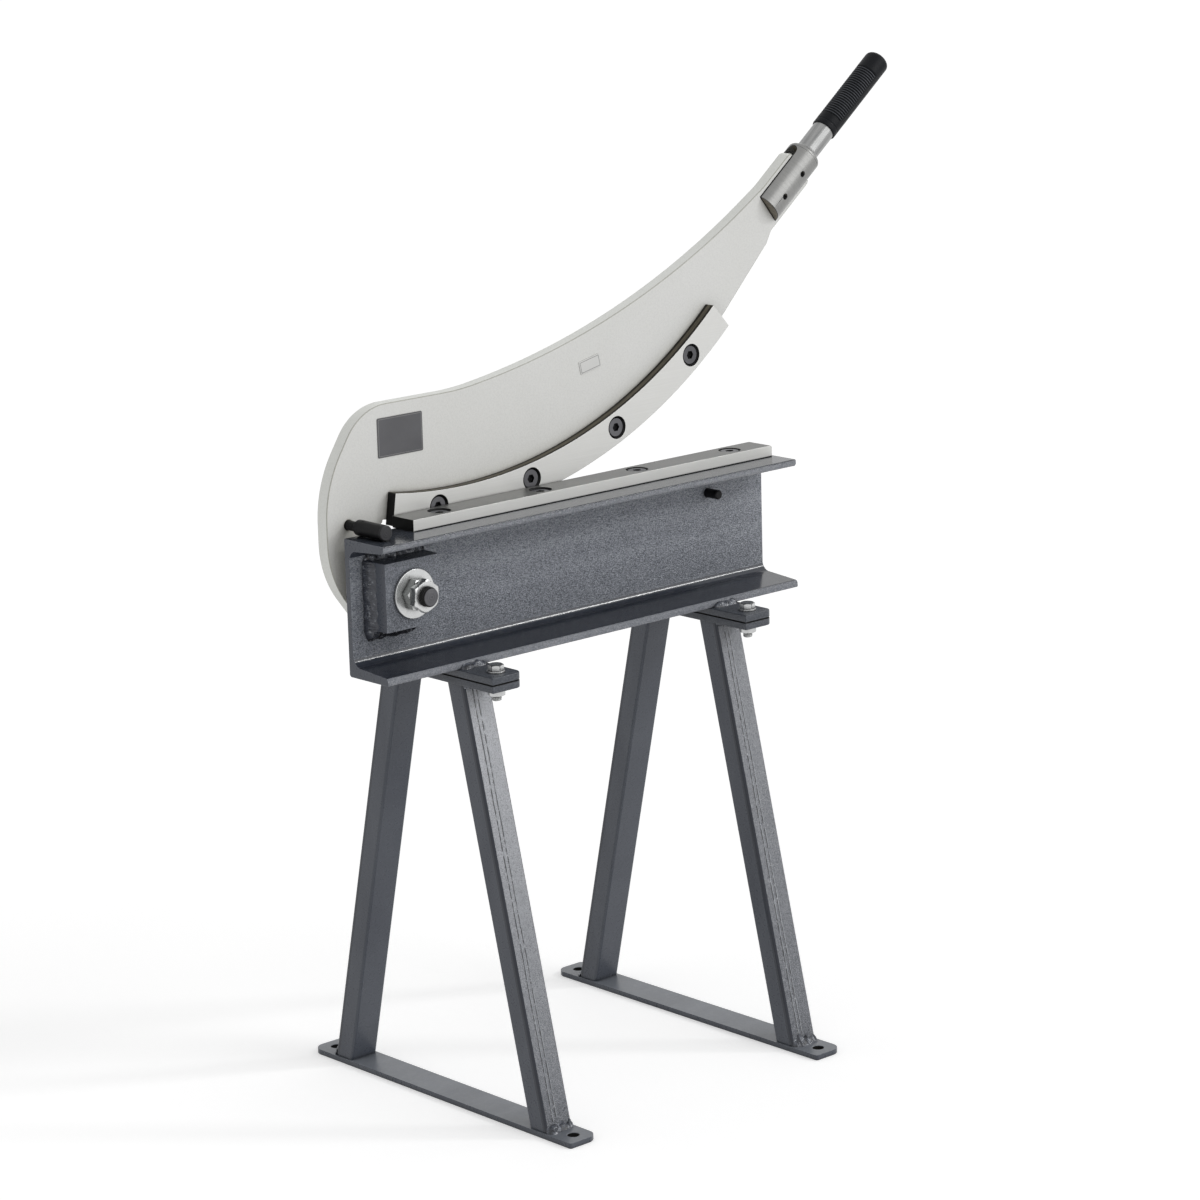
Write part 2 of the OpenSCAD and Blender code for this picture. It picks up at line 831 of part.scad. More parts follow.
// Round socket with a milled slot that takes the arm's tongue
module handle_socket() {
  slot_w = arm_t + 2 * slot_gap;
  color(col_satin)
    difference() {
      at_handle() rotate([0, 90, 0])
        union() {
          cylinder(h = socket_len - socket_edge, d = socket_d);
          translate([0, 0, socket_len - socket_edge])
            cylinder(h = socket_edge, d1 = socket_d, d2 = socket_d - 2 * socket_edge);
        }
      at_handle() translate([-cut, -slot_w / 2, -socket_d])
        cube([slot_len - slot_w / 2 + cut, slot_w, 2 * socket_d]);
      at_handle() translate([slot_len - slot_w / 2, 0, -socket_d])
        cylinder(h = 2 * socket_d, d = slot_w);
      at_handle() translate([slot_len - cut, 0, 0]) rotate([0, 90, 0])
        cylinder(h = socket_len - slot_len + 2 * cut, d = spigot_d);
      at_cross_pins() cylinder(h = 2 * socket_d, d = cross_pin_d, center = true);
    }
}

module cross_pins() {
  length = socket_d - 2 * chamfer;
  color(col_black) at_cross_pins() cylinder(h = length, d = cross_pin_d, center = true);
}

grip_start = socket_len + rod_show;

module handle_rod() {
  color(col_satin)
    at_handle() rotate([0, 90, 0]) {
      translate([0, 0, slot_len]) cylinder(h = socket_len - slot_len, d = spigot_d);
      translate([0, 0, socket_len])
        cylinder(h = rod_show + rod_in_grip_share * grip_len, d = rod_d);
    }
}

// Half profile of the grip, from its open end to its closed end
function grip_profile() =
  let (
    r = grip_d / 2,
    bore = rod_d / 2,
    pocket = rod_in_grip_share * grip_len,
    g0 = groove_start_share * grip_len,
    step = (groove_end_share - groove_start_share) * grip_len / grip_grooves,
    w = step * groove_w_share,
    low = r - grip_wall * groove_d_share
  )
  concat(
    [[0, pocket], [bore, pocket], [bore, 0], [r - chamfer, 0], [r, chamfer]],
    [for (i = [0:grip_grooves - 1]) each [
      [r, g0 + i * step], [low, g0 + i * step], [low, g0 + i * step + w], [r, g0 + i * step + w]
    ]],
    arc([r - grip_end_r, grip_len - grip_end_r], grip_end_r, 0, 90, 8),
    [[0, grip_len]]
  );

module handle_grip() {
  color(col_black)
    at_handle() translate([grip_start, 0, 0]) rotate([0, 90, 0]) rotate_extrude()
      polygon(grip_profile());
}

// Thin plate on the arm's front face, with rounded corners
module badge(x, z, w, h, turn, r) {
  at_pivot() translate([x, 0, z]) rotate([0, -turn, 0]) slab(arm_front - plate_skin, arm_front)
    polygon(rounded(
      [[-w / 2, -h / 2], [w / 2, -h / 2], [w / 2, h / 2], [-w / 2, h / 2]], [r, r, r, r]
    ));
}

module rating_plate() {
  color(col_black) badge(rating_x, rating_z, rating_w, rating_h, 0, rating_r);
}

module mark_plate() {
  color(col_satin) badge(mark_x, mark_z, mark_w, mark_h, mark_angle, mark_r);
}

base_channel();
pivot_block();
pivot_block_welds();
lower_blade();
lower_blade_screws();
pivot_bolt();
front_washer();
pivot_nut();
lock_nut();
thrust_spacer();
rear_washer();
down_stop_pin();
left_beam_plate();
right_beam_plate();
beam_plate_welds();
left_stand_plate();
right_stand_plate();
left_front_leg();
left_rear_leg();
right_front_leg();
right_rear_leg();
left_base_bar();
right_base_bar();
left_stand_welds();
right_stand_welds();
left_stand_bolts();
right_stand_bolts();
left_stand_washers();
right_stand_washers();
left_stand_nuts();
right_stand_nuts();
arm_plate();
upper_blade();
upper_blade_screws();
pivot_bush();
stop_pin();
handle_socket();
cross_pins();
handle_rod();
handle_grip();
rating_plate();
mark_plate();
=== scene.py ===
"""Looks of a hand lever plate shear on two stands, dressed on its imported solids.

Lengths are in metres. X runs along the beam, Y away from the operator, Z up.
"""

import json
import math

import bmesh
import bpy
from mathutils import Matrix, Vector, noise


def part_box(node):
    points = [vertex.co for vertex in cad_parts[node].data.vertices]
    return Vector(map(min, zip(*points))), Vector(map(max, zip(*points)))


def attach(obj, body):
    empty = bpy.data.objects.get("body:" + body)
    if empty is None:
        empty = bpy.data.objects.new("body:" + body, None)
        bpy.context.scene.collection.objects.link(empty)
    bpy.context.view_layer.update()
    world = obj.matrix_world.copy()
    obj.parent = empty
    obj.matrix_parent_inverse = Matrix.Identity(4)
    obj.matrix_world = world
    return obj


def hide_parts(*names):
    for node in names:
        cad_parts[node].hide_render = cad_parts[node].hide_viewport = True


MM = 0.001
ALONG = Vector((1, 0, 0))
FRONT = Vector((0, -1, 0))
BACK = Vector((0, 1, 0))
UP = Vector((0, 0, 1))

# Places of the beam, the pivot and the arm
PIVOT = Vector((-0.230, 0.0, 0.549))
FLANGE_TOP = 0.608
BEAM_FOOT = 0.468
WEB_FRONT = -0.007
TOE_FRONT = -0.060
BLOCK_HALF = 0.035
BOLT_FRONT = -0.065
ARM_FRONT = 0.01615
BLADE_ARC = Vector((-0.133, 0, 1.177))

# Distances from the blade arc's centre: the upper blade's upper edge, and its screw holes
BLADE_INNER = 0.543
SCREW_BAND = (0.545, 0.572)

# Places of the stands
STAND_X = {"left": -0.175, "right": 0.175}
STAND_BOLT_Y = 0.094
PLATE_JOINT = 0.460
LEG_TOP = 0.452
LEG_HEAD_Y = 0.064
LEG_FOOT_Y = 0.169
LEG_HALF = 0.0175
BAR_TOP = 0.006
BAR_HALF = 0.019
BAR_TIP_Y = 0.206
FLOOR_HOLE_Y = 0.189

# Places along the handle, from the foot of its socket
HANDLE_FOOT = Vector((0.3245, 0.02365, 0.866))
HANDLE_ANGLE = math.radians(38.4)
HANDLE_AXIS = Vector((math.cos(HANDLE_ANGLE), 0, math.sin(HANDLE_ANGLE)))
HANDLE_ACROSS = Vector((-math.sin(HANDLE_ANGLE), 0, math.cos(HANDLE_ANGLE)))
SOCKET_LENGTH = 0.083
GRIP_START = 0.120
GRIP_LENGTH = 0.112
GRIP_RADIUS = 0.01396
GRIP_TIP = 0.006
RIB_START = 0.13
RIB_END = 0.79
RIB_COUNT = 24
STRIP_TURN = math.atan2(-0.875, -0.484)

# Plates on the arm: node, finish, middle, size and turn in degrees
BADGES = (
    ("rating_plate", "dark plate", (-0.196, 0.697), (0.058, 0.040), 0.0),
    ("mark_plate", "pale plate", (0.061, 0.733), (0.029, 0.014), 12.0),
)

# Strengths of the lights
FILL = 0.60
KEY = 0.92
CLEAR_KEY = 0.45
FLOOR_GLOW = 0.36

# Level of the web's painted reflection bands, light and dark, from its foot to its top
WEB_REFLECTION_BANDS = (
    (0.0, 0.18), (0.24, 0.2), (0.34, 0.22), (0.45, 0.56), (0.56, 0.36), (0.75, 0.95),
    (0.9, 0.38), (1.0, 0.76),
)


# Node trees


def tint(value):
    """Shader colour of red, green and blue from 0 to 255. A socket stays as it is."""
    if isinstance(value, bpy.types.NodeSocket):
        return value
    shares = [level / 255 for level in value]
    linear = [s / 12.92 if s <= 0.04045 else ((s + 0.055) / 1.055) ** 2.4 for s in shares]
    return (*linear, 1.0)


def put(tree, kind, inputs=None, **settings):
    """Adds a node with its settings, and its inputs as values or linked sockets."""
    node = tree.nodes.new(kind)
    for name, value in settings.items():
        setattr(node, name, value)
    for name, value in (inputs or {}).items():
        if isinstance(value, bpy.types.NodeSocket):
            tree.links.new(value, node.inputs[name])
        else:
            node.inputs[name].default_value = value
    return node


def calculate(tree, operation, first, second=0.0, clamp=False):
    """Result of a sum or product of two values."""
    node = put(tree, "ShaderNodeMath", {0: first, 1: second}, operation=operation, use_clamp=clamp)
    return node.outputs[0]


def span(tree, value, low, high, to_low=0.0, to_high=1.0):
    """Maps a value from low..high to a new range, and holds it there."""
    inputs = {0: value, 1: low, 2: high, 3: to_low, 4: to_high}
    return put(tree, "ShaderNodeMapRange", inputs).outputs[0]


def blend(tree, share, first, second):
    """Colour between first and second."""
    inputs = {0: share, 6: tint(first), 7: tint(second)}
    return put(tree, "ShaderNodeMix", inputs, data_type="RGBA").outputs[2]


def object_place(tree):
    """Place on the piece, in metres."""
    return put(tree, "ShaderNodeTexCoord").outputs["Object"]


def stretched(tree, place, stretch):
    """Place multiplied by a stretch in each direction."""
    inputs = {0: place, 1: stretch}
    return put(tree, "ShaderNodeVectorMath", inputs, operation="MULTIPLY").outputs[0]


def drawn_out(group, place, given):
    """Place turned about Y and then stretched, as the group's inputs say."""
    inputs = {"Vector": place, "Angle": given["Turn"]}
    turned = put(group, "ShaderNodeVectorRotate", inputs, rotation_type="Y_AXIS")
    return stretched(group, turned.outputs[0], given["Stretch"])


def mottle(tree, place, scale, detail, rough=0.5, warp=0.0):
    """Soft random value round one half."""
    inputs = {
        "Vector": place, "Scale": scale, "Detail": detail, "Roughness": rough, "Distortion": warp
    }
    return put(tree, "ShaderNodeTexNoise", inputs).outputs[0]


def new_group(name, outputs, **inputs):
    """Shader group with named outputs and inputs, and the values that come into it."""
    group = bpy.data.node_groups.new(name, "ShaderNodeTree")
    for label, value in inputs.items():
        kind = "NodeSocketVector" if isinstance(value, tuple) else "NodeSocketFloat"
        socket = group.interface.new_socket(label, in_out="INPUT", socket_type=kind)
        socket.default_value = value
    for label in outputs:
        group.interface.new_socket(label, in_out="OUTPUT", socket_type="NodeSocketFloat")
    return group, put(group, "NodeGroupInput").outputs


def close_group(group, **values):
    """Puts out values under the names of the group's outputs."""
    put(group, "NodeGroupOutput", values)
    return group


def hammer_group():
    """Pebbled relief of hammered enamel, with masks of its crests and of its pits."""
    outputs = ("Height", "Crests", "Pits")
    group, given = new_group("hammered relief", outputs, Scale=400.0, Stretch=(1.0, 1.0, 1.0))
    place = stretched(group, object_place(group), given["Stretch"])
    worms = mottle(group, place, given["Scale"], 1.5, 0.55, 0.9)
    inputs = {"Vector": place, "Scale": calculate(group, "MULTIPLY", given["Scale"], 0.8)}
    cells = put(group, "ShaderNodeTexVoronoi", inputs, feature="SMOOTH_F1").outputs[0]
    height = calculate(group, "ADD", worms, calculate(group, "MULTIPLY", cells, 0.4))
    crests = span(group, worms, 0.5, 0.64)
    return close_group(group, Height=height, Crests=crests, Pits=span(group, worms, 0.5, 0.38))


def cloud_group():
    """Soft uneven tone over a large surface."""
    group, given = new_group("uneven tone", ("Tone",), Stretch=(10.0, 10.0, 10.0), Turn=0.0)
    tone = mottle(group, drawn_out(group, object_place(group), given), 1.0, 3.0, 0.5, 0.4)
    return close_group(group, Tone=span(group, tone, 0.3, 0.7))


def brush_group():
    """Fine parallel tool marks. The stretch is small along the marks and large across them."""
    group, given = new_group(
        "tool marks", ("Marks", "Stains"), Stretch=(20.0, 900.0, 900.0), Turn=0.0
    )
    place = object_place(group)
    marks = mottle(group, drawn_out(group, place, given), 1.0, 4.0, 0.7)
    stains = mottle(group, place, 28.0, 4.0, 0.6)
    return close_group(
        group, Marks=span(group, marks, 0.25, 0.75), Stains=span(group, stains, 0.35, 0.7)
    )


def wear_group():
    """Mask of rubbed edges, broken up along their length."""
    group, given = new_group("edge wear", ("Mask",), Width=1.2 * MM, Break=160.0)
    rounded = put(group, "ShaderNodeBevel", {"Radius": given["Width"]}, samples=4).outputs[0]
    flat = put(group, "ShaderNodeNewGeometry").outputs["Normal"]
    same = put(group, "ShaderNodeVectorMath", {0: rounded, 1: flat}, operation="DOT_PRODUCT")
    edge = span(group, same.outputs["Value"], 0.995, 0.86)
    torn = mottle(group, object_place(group), given["Break"], 4.0, 0.7)
    return close_group(
        group, Mask=calculate(group, "MULTIPLY", edge, span(group, torn, 0.38, 0.62))
    )


def dust_group():
    """Mask of dust that has settled on faces that look up."""
    group, given = new_group("settled dust", ("Mask",), Grain=90.0)
    spot = put(group, "ShaderNodeTexCoord").outputs
    facing = put(group, "ShaderNodeSeparateXYZ", {0: spot["Normal"]}).outputs[2]
    level = span(group, facing, 0.6, 1.0)
    specks = span(group, mottle(group, spot["Object"], given["Grain"], 6.0, 0.75), 0.42, 0.7)
    return close_group(group, Mask=calculate(group, "MULTIPLY", level, specks))


def crevice_group():
    """Mask of corners and gaps where little light gets in, for painted shade."""
    group, given = new_group("crevices", ("Mask",), Reach=6 * MM)
    light = put(group, "ShaderNodeAmbientOcclusion", {"Distance": given["Reach"]}, samples=6)
    narrow = span(group, light.outputs["AO"], 0.85, 0.3)
    uneven = span(group, mottle(group, object_place(group), 150.0, 3.0), 0.2, 0.5, 0.7)
    return close_group(group, Mask=calculate(group, "MULTIPLY", narrow, uneven))


def height_group():
    """Mask that rises from a low to a high level above the floor, with a torn edge."""
    group, given = new_group("height fade", ("Mask",), Low=0.0, High=0.42)
    place = object_place(group)
    height = put(group, "ShaderNodeSeparateXYZ", {0: place}).outputs[2]
    torn = calculate(group, "MULTIPLY", mottle(group, place, 40.0, 4.0), 0.04)
    level = calculate(group, "ADD", height, torn)
    return close_group(group, Mask=span(group, level, given["Low"], given["High"]))


def band_group():
    """Painted reflection: soft light and dark bands along the beam's web, a little wavy."""
    group, given = new_group("painted reflection bands", ("Tone",), Low=0.485, High=0.585)
    place = object_place(group)
    height = put(group, "ShaderNodeSeparateXYZ", {0: place}).outputs[2]
    wave = span(group, mottle(group, place, 14.0, 2.0), 0.3, 0.7, -2.5 * MM, 2.5 * MM)
    level = calculate(group, "ADD", height, wave)
    ramp = put(
        group, "ShaderNodeValToRGB", {0: span(group, level, given["Low"], given["High"])}
    )
    stops = ramp.color_ramp
    stops.interpolation = "EASE"
    for number, (share, tone) in enumerate(WEB_REFLECTION_BANDS):
        if number > 1:
            stops.elements.new(share)
        stops.elements[number].position = share
        stops.elements[number].color = (tone, tone, tone, 1.0)
    return close_group(group, Tone=ramp.outputs[0])


def use(tree, group, **inputs):
    """Places a group with its own values, and gives its outputs."""
    node = put(tree, "ShaderNodeGroup", node_tree=GROUPS[group])
    for name, value in inputs.items():
        node.inputs[name].default_value = value
    return node.outputs


def new_material(name, metallic=0.0, specular=0.5):
    """Material with one principled shader, whose constants are set on its own sockets."""
    material = bpy.data.materials.new(name)
    material.use_nodes = True
    tree = material.node_tree
    tree.nodes.clear()
    constants = {"Metallic": metallic, "Specular IOR Level": specular}
    shader = put(tree, "ShaderNodeBsdfPrincipled", constants)
    put(tree, "ShaderNodeOutputMaterial", {0: shader.outputs[0]})
    return material, tree, shader


def set_looks(tree, shader, base, rough, height, depth):
    """Links colour, roughness and relief to the shader."""
    relief = put(tree, "ShaderNodeBump", {"Height": height, "Distance": depth})
    tree.links.new(base, shader.inputs["Base Color"])
    tree.links.new(rough, shader.inputs["Roughness"])
    tree.links.new(relief.outputs[0], shader.inputs["Normal"])


# Materials


def worn(width=1.2 * MM, breaks=160.0):
    """Mask of rubbed edges of a width, for a layer."""
    return "wear", {"Width": width, "Break": breaks}


def shaded_crevices(reach=6 * MM):
    """Mask of painted shade in crevices that reach a depth, for a layer."""
    return "crevice", {"Reach": reach}


def lay(tree, base, surface, layers):
    """Lays tints over a base colour, each where its mask is set.

    A layer is a mask, its share and its tint. The mask is a socket, the name of one of
    the surface's outputs, or another group's name and inputs.
    """
    for mask, share, over in layers:
        if isinstance(mask, str):
            mask = surface[mask]
        elif isinstance(mask, tuple):
            mask = use(tree, mask[0], **mask[1])["Mask"]
        base = blend(tree, calculate(tree, "MULTIPLY", mask, share), base, over)
    return base


def plain_coat(
    name, dark, light, scale, drift, gloss, depth, layers=(), turn=0.0, specular=0.4
):
    """Paint or plastic with a pebbled skin, whose tone drifts between two colours.

    Gloss is the roughness in the skin's hollows and on its crests.
    """
    material, tree, shader = new_material(name, specular=specular)
    relief = use(tree, "hammer", Scale=scale)
    tone = use(tree, "cloud", Stretch=drift, Turn=turn)["Tone"]
    base = lay(tree, blend(tree, tone, dark, light), relief, layers)
    rough = span(tree, relief["Crests"], 0.0, 1.0, *gloss)
    set_looks(tree, shader, base, rough, relief["Height"], depth)
    return material


def tooled_metal(
    name, dark, light, metallic, specular, stretch, gloss, depth, layers=(), turn=0.0,
    tone="Marks", shine="Marks",
):
    """Metal with parallel tool marks, in two colours and two degrees of roughness.

    Tone and shine say whether the marks or the stains part these.
    """
    material, tree, shader = new_material(name, metallic, specular)
    marks = use(tree, "brush", Stretch=stretch, Turn=turn)
    base = lay(tree, blend(tree, marks[tone], dark, light), marks, layers)
    rough = span(tree, marks[shine], 0.0, 1.0, *gloss)
    set_looks(tree, shader, base, rough, marks["Marks"], depth)
    return material


def hammered_enamel(
    name, tones, scale, depth, rough, relief_shading=0.4, stretch=1.0, top_light=0.0, banded=False
):
    """Enamel with a pebbled surface: dark and light tones, then painted shade in the pits
    and painted highlight on the crests.

    Stretch below 1 draws the pebbles out along the beam. Top light is the share of a paler
    colour painted on the top of the legs, a painted highlight where more light falls. A banded
    coat has the web's lengthwise bands, a painted reflection.
    """
    dark, light, deep, pale = tones
    material, tree, shader = new_material(name, specular=0.4)
    relief = use(tree, "hammer", Scale=scale, Stretch=(stretch, 1.0, 1.0))
    level = use(tree, "cloud", Stretch=(1.6, 10.0, 24.0), Turn=0.05)["Tone"]
    if banded:
        drift = span(tree, level, 0.0, 1.0, -0.12, 0.12)
        level = calculate(tree, "ADD", use(tree, "bands")["Tone"], drift)
    # Painted top light, painted shade in the pits, painted highlight on the crests, rubbed edges,
    # painted shade in crevices
    base = lay(tree, blend(tree, level, dark, light), relief, (
        (("height", {}), top_light, pale),
        ("Pits", relief_shading, deep),
        ("Crests", relief_shading * 0.8, pale),
        (worn(), 0.5, pale),
        (shaded_crevices(), 0.8, (22, 24, 29)),
    ))
    gloss = span(tree, relief["Crests"], 0.0, 1.0, rough + 0.1, rough - 0.08)
    set_looks(tree, shader, base, gloss, relief["Height"], depth)
    return material


def bead_enamel(name, dark, light, glint_share):
    """Glossy enamel run over a weld bead, black in its hollows from painted shade, with painted
    glints on its crests.
    """
    material, tree, shader = new_material(name, specular=0.6)
    relief = use(tree, "hammer", Scale=520.0)
    patches = mottle(tree, object_place(tree), 190.0, 5.0)
    painted_glints = calculate(tree, "MULTIPLY", relief["Crests"], span(tree, patches, 0.52, 0.6))
    base = lay(tree, blend(tree, span(tree, patches, 0.38, 0.62), dark, light), relief, (
        ("Pits", 0.5, (24, 26, 31)),
        (painted_glints, glint_share, (205, 208, 212)),
        (shaded_crevices(5 * MM), 0.85, (14, 15, 18)),
    ))
    gloss = span(tree, patches, 0.3, 0.7, 0.4, 0.14)
    set_looks(tree, shader, base, gloss, relief["Height"], 0.3 * MM)
    return material


def smooth_enamel(name, dark, light, rough):
    """Enamel on rolled steel: a faint skin relief, dust on top, rubbed edges, and painted shade in
    its crevices.
    """
    return plain_coat(
        name, dark, light, 240.0, (9.0, 30.0, 9.0), (rough + 0.04, rough - 0.02), 0.05 * MM, (
            (("dust", {}), 0.08, (150, 150, 146)),
            (worn(), 0.55, (150, 155, 164)),
            (shaded_crevices(), 0.8, (20, 22, 27)),
        )
    )


def cream_coat(name, dark, light):
    """Powder coat with fine orange peel, greyed along its edges.

    Painted highlight lightens the peel's crests, and painted shade darkens its pits and crevices,
    brownish over a wide reach.
    """
    return plain_coat(
        name, dark, light, 560.0, (6.0, 30.0, 6.0), (0.55, 0.42), 0.07 * MM, (
            (shaded_crevices(30 * MM), 0.4, (150, 145, 122)),
            ("Crests", 0.14, (224, 225, 219)),
            ("Pits", 0.12, (176, 177, 170)),
            (worn(1.6 * MM, 60.0), 0.35, (172, 173, 166)),
            (shaded_crevices(4 * MM), 0.6, (70, 68, 60)),
        ), turn=0.6, specular=0.35,
    )


def grip_rubber(name, dark, light):
    """Black moulded grip with a fine matt skin, greyed crests, and black hollows from painted shade.
    """
    return plain_coat(
        name, dark, light, 900.0, (40.0, 40.0, 40.0), (0.5, 0.38), 0.04 * MM, (
            (worn(0.9 * MM, 30.0), 0.4, (90, 92, 96)),
            (shaded_crevices(2 * MM), 0.95, (3, 3, 4)),
        ), specular=0.15,
    )


def plate_finish(name, dark, light, rough):
    """Thin bare plate, faintly mottled."""
    gloss = (rough + 0.06, rough - 0.06)
    return plain_coat(name, dark, light, 1200.0, (20.0, 20.0, 30.0), gloss, 0.02 * MM, turn=0.2)


def ground_steel(name, dark, light):
    """Surface-ground tool steel with fine marks along the blade, light staining, and painted shade in
    its crevices.
    """
    return tooled_metal(
        name, dark, light, 0.5, 0.3, (10.0, 2200.0, 2200.0), (0.46, 0.38), 0.006 * MM, (
            ("Stains", 0.3, dark),
            (worn(0.8 * MM, 90.0), 0.5, (228, 228, 226)),
            (shaded_crevices(3 * MM), 0.8, (40, 38, 33)),
        )
    )


def blade_scale(name, dark, light):
    """Dark heat scale left on the blades' unground edges, in bands across their thickness, with
    painted shade in its crevices.
    """
    return tooled_metal(
        name, dark, light, 0.2, 0.2, (30.0, 320.0, 30.0), (0.55, 0.4), 0.03 * MM, (
            ("Stains", 0.35, dark),
            (worn(0.8 * MM, 120.0), 0.6, (150, 146, 136)),
            (shaded_crevices(5 * MM), 0.85, (20, 19, 16)),
        ), shine="Stains",
    )


def black_oxide(name, dark, light):
    """Oiled black oxide with worn grey edges, turning marks, and painted shade in its crevices."""
    return tooled_metal(
        name, dark, light, 0.2, 0.15, (80.0, 1200.0, 80.0), (0.5, 0.34), 0.03 * MM, (
            ("Marks", 0.2, (48, 48, 50)),
            (worn(0.9 * MM, 150.0), 0.45, (120, 120, 121)),
            (shaded_crevices(3 * MM), 0.85, (8, 8, 8)),
        ), tone="Stains", shine="Stains",
    )


def zinc_plate(name, dark, light, rough):
    """Zinc plate, slightly clouded, with painted shade in its corners."""
    gloss = (rough - 0.04, rough + 0.08)
    return tooled_metal(
        name, light, dark, 0.85, 0.4, (260.0, 260.0, 260.0), gloss, 0.012 * MM, (
            (worn(0.8 * MM, 200.0), 0.6, (232, 233, 230)),
            (shaded_crevices(), 0.85, (44, 45, 44)),
        ), tone="Stains",
    )


def turned_steel(name, dark, light, rough, stretch):
    """Bare steel of the handle, with marks stretched in the handle's own directions, and painted
    shade in its crevices.
    """
    return tooled_metal(
        name, dark, light, 0.75, 0.4, stretch, (rough + 0.08, rough - 0.04), 0.014 * MM, (
            ("Stains", 0.3, dark),
            (worn(1.0 * MM, 80.0), 0.5, (205, 206, 206)),
            (shaded_crevices(4 * MM), 0.85, (24, 24, 23)),
        ), turn=HANDLE_ANGLE,
    )


def sawn_steel(name, dark, light):
    """Raw sawn end of the socket, browned."""
    return tooled_metal(
        name, dark, light, 0.5, 0.5, (40.0, 60.0, 900.0), (0.55, 0.42), 0.04 * MM,
        turn=HANDLE_ANGLE, shine="Stains",
    )


def bearing_bronze(name, dark, light):
    """Turned bearing bronze, dulled by oil."""
    return tooled_metal(
        name, light, dark, 1.0, 0.5, (200.0, 1300.0, 200.0), (0.3, 0.45), 0.015 * MM,
        tone="Stains",
    )


def make_groups():
    """Every shared effect by a short name."""
    return {
        "hammer": hammer_group(),
        "cloud": cloud_group(),
        "brush": brush_group(),
        "wear": wear_group(),
        "dust": dust_group(),
        "crevice": crevice_group(),
        "height": height_group(),
        "bands": band_group(),
    }


def make_hammered():
    """Finishes of the pebbled enamel: dark and light tones, then the painted shade of the pits and
    the painted highlight of the crests.
    """
    web = ((112, 116, 124), (148, 152, 160), (50, 54, 63), (194, 198, 206))
    block = ((98, 102, 110), (126, 130, 138), (48, 52, 61), (190, 194, 202))
    toe = ((108, 111, 118), (128, 131, 137), (66, 69, 77), (186, 188, 192))
    leg = ((85, 88, 95), (100, 103, 110), (48, 51, 58), (200, 202, 207))
    plate = ((58, 62, 69), (70, 74, 81), (34, 37, 44), (116, 119, 126))
    return {
        "web": hammered_enamel(
            "hammered web enamel", web, 1350.0, 1.5 * MM, 0.3, 0.65, stretch=0.5, banded=True
        ),
        "block": hammered_enamel("hammered block enamel", block, 1200.0, 1.5 * MM, 0.3, 0.65),
        "toe": hammered_enamel("hammered toe enamel", toe, 760.0, 1.0 * MM, 0.32),
        # The leg enamels differ only in the share of painted top light on the legs' upper parts.
        "left leg": hammered_enamel(
            "hammered leg enamel with strong painted top light", leg, 1250.0, 1.2 * MM, 0.32, 0.6, top_light=0.92
        ),
        "right leg": hammered_enamel(
            "hammered leg enamel with faint painted top light", leg, 1250.0, 1.2 * MM, 0.32, 0.6, top_light=0.42
        ),
        "plate": hammered_enamel("dark hammered enamel", plate, 800.0, 0.35 * MM, 0.34),
    }


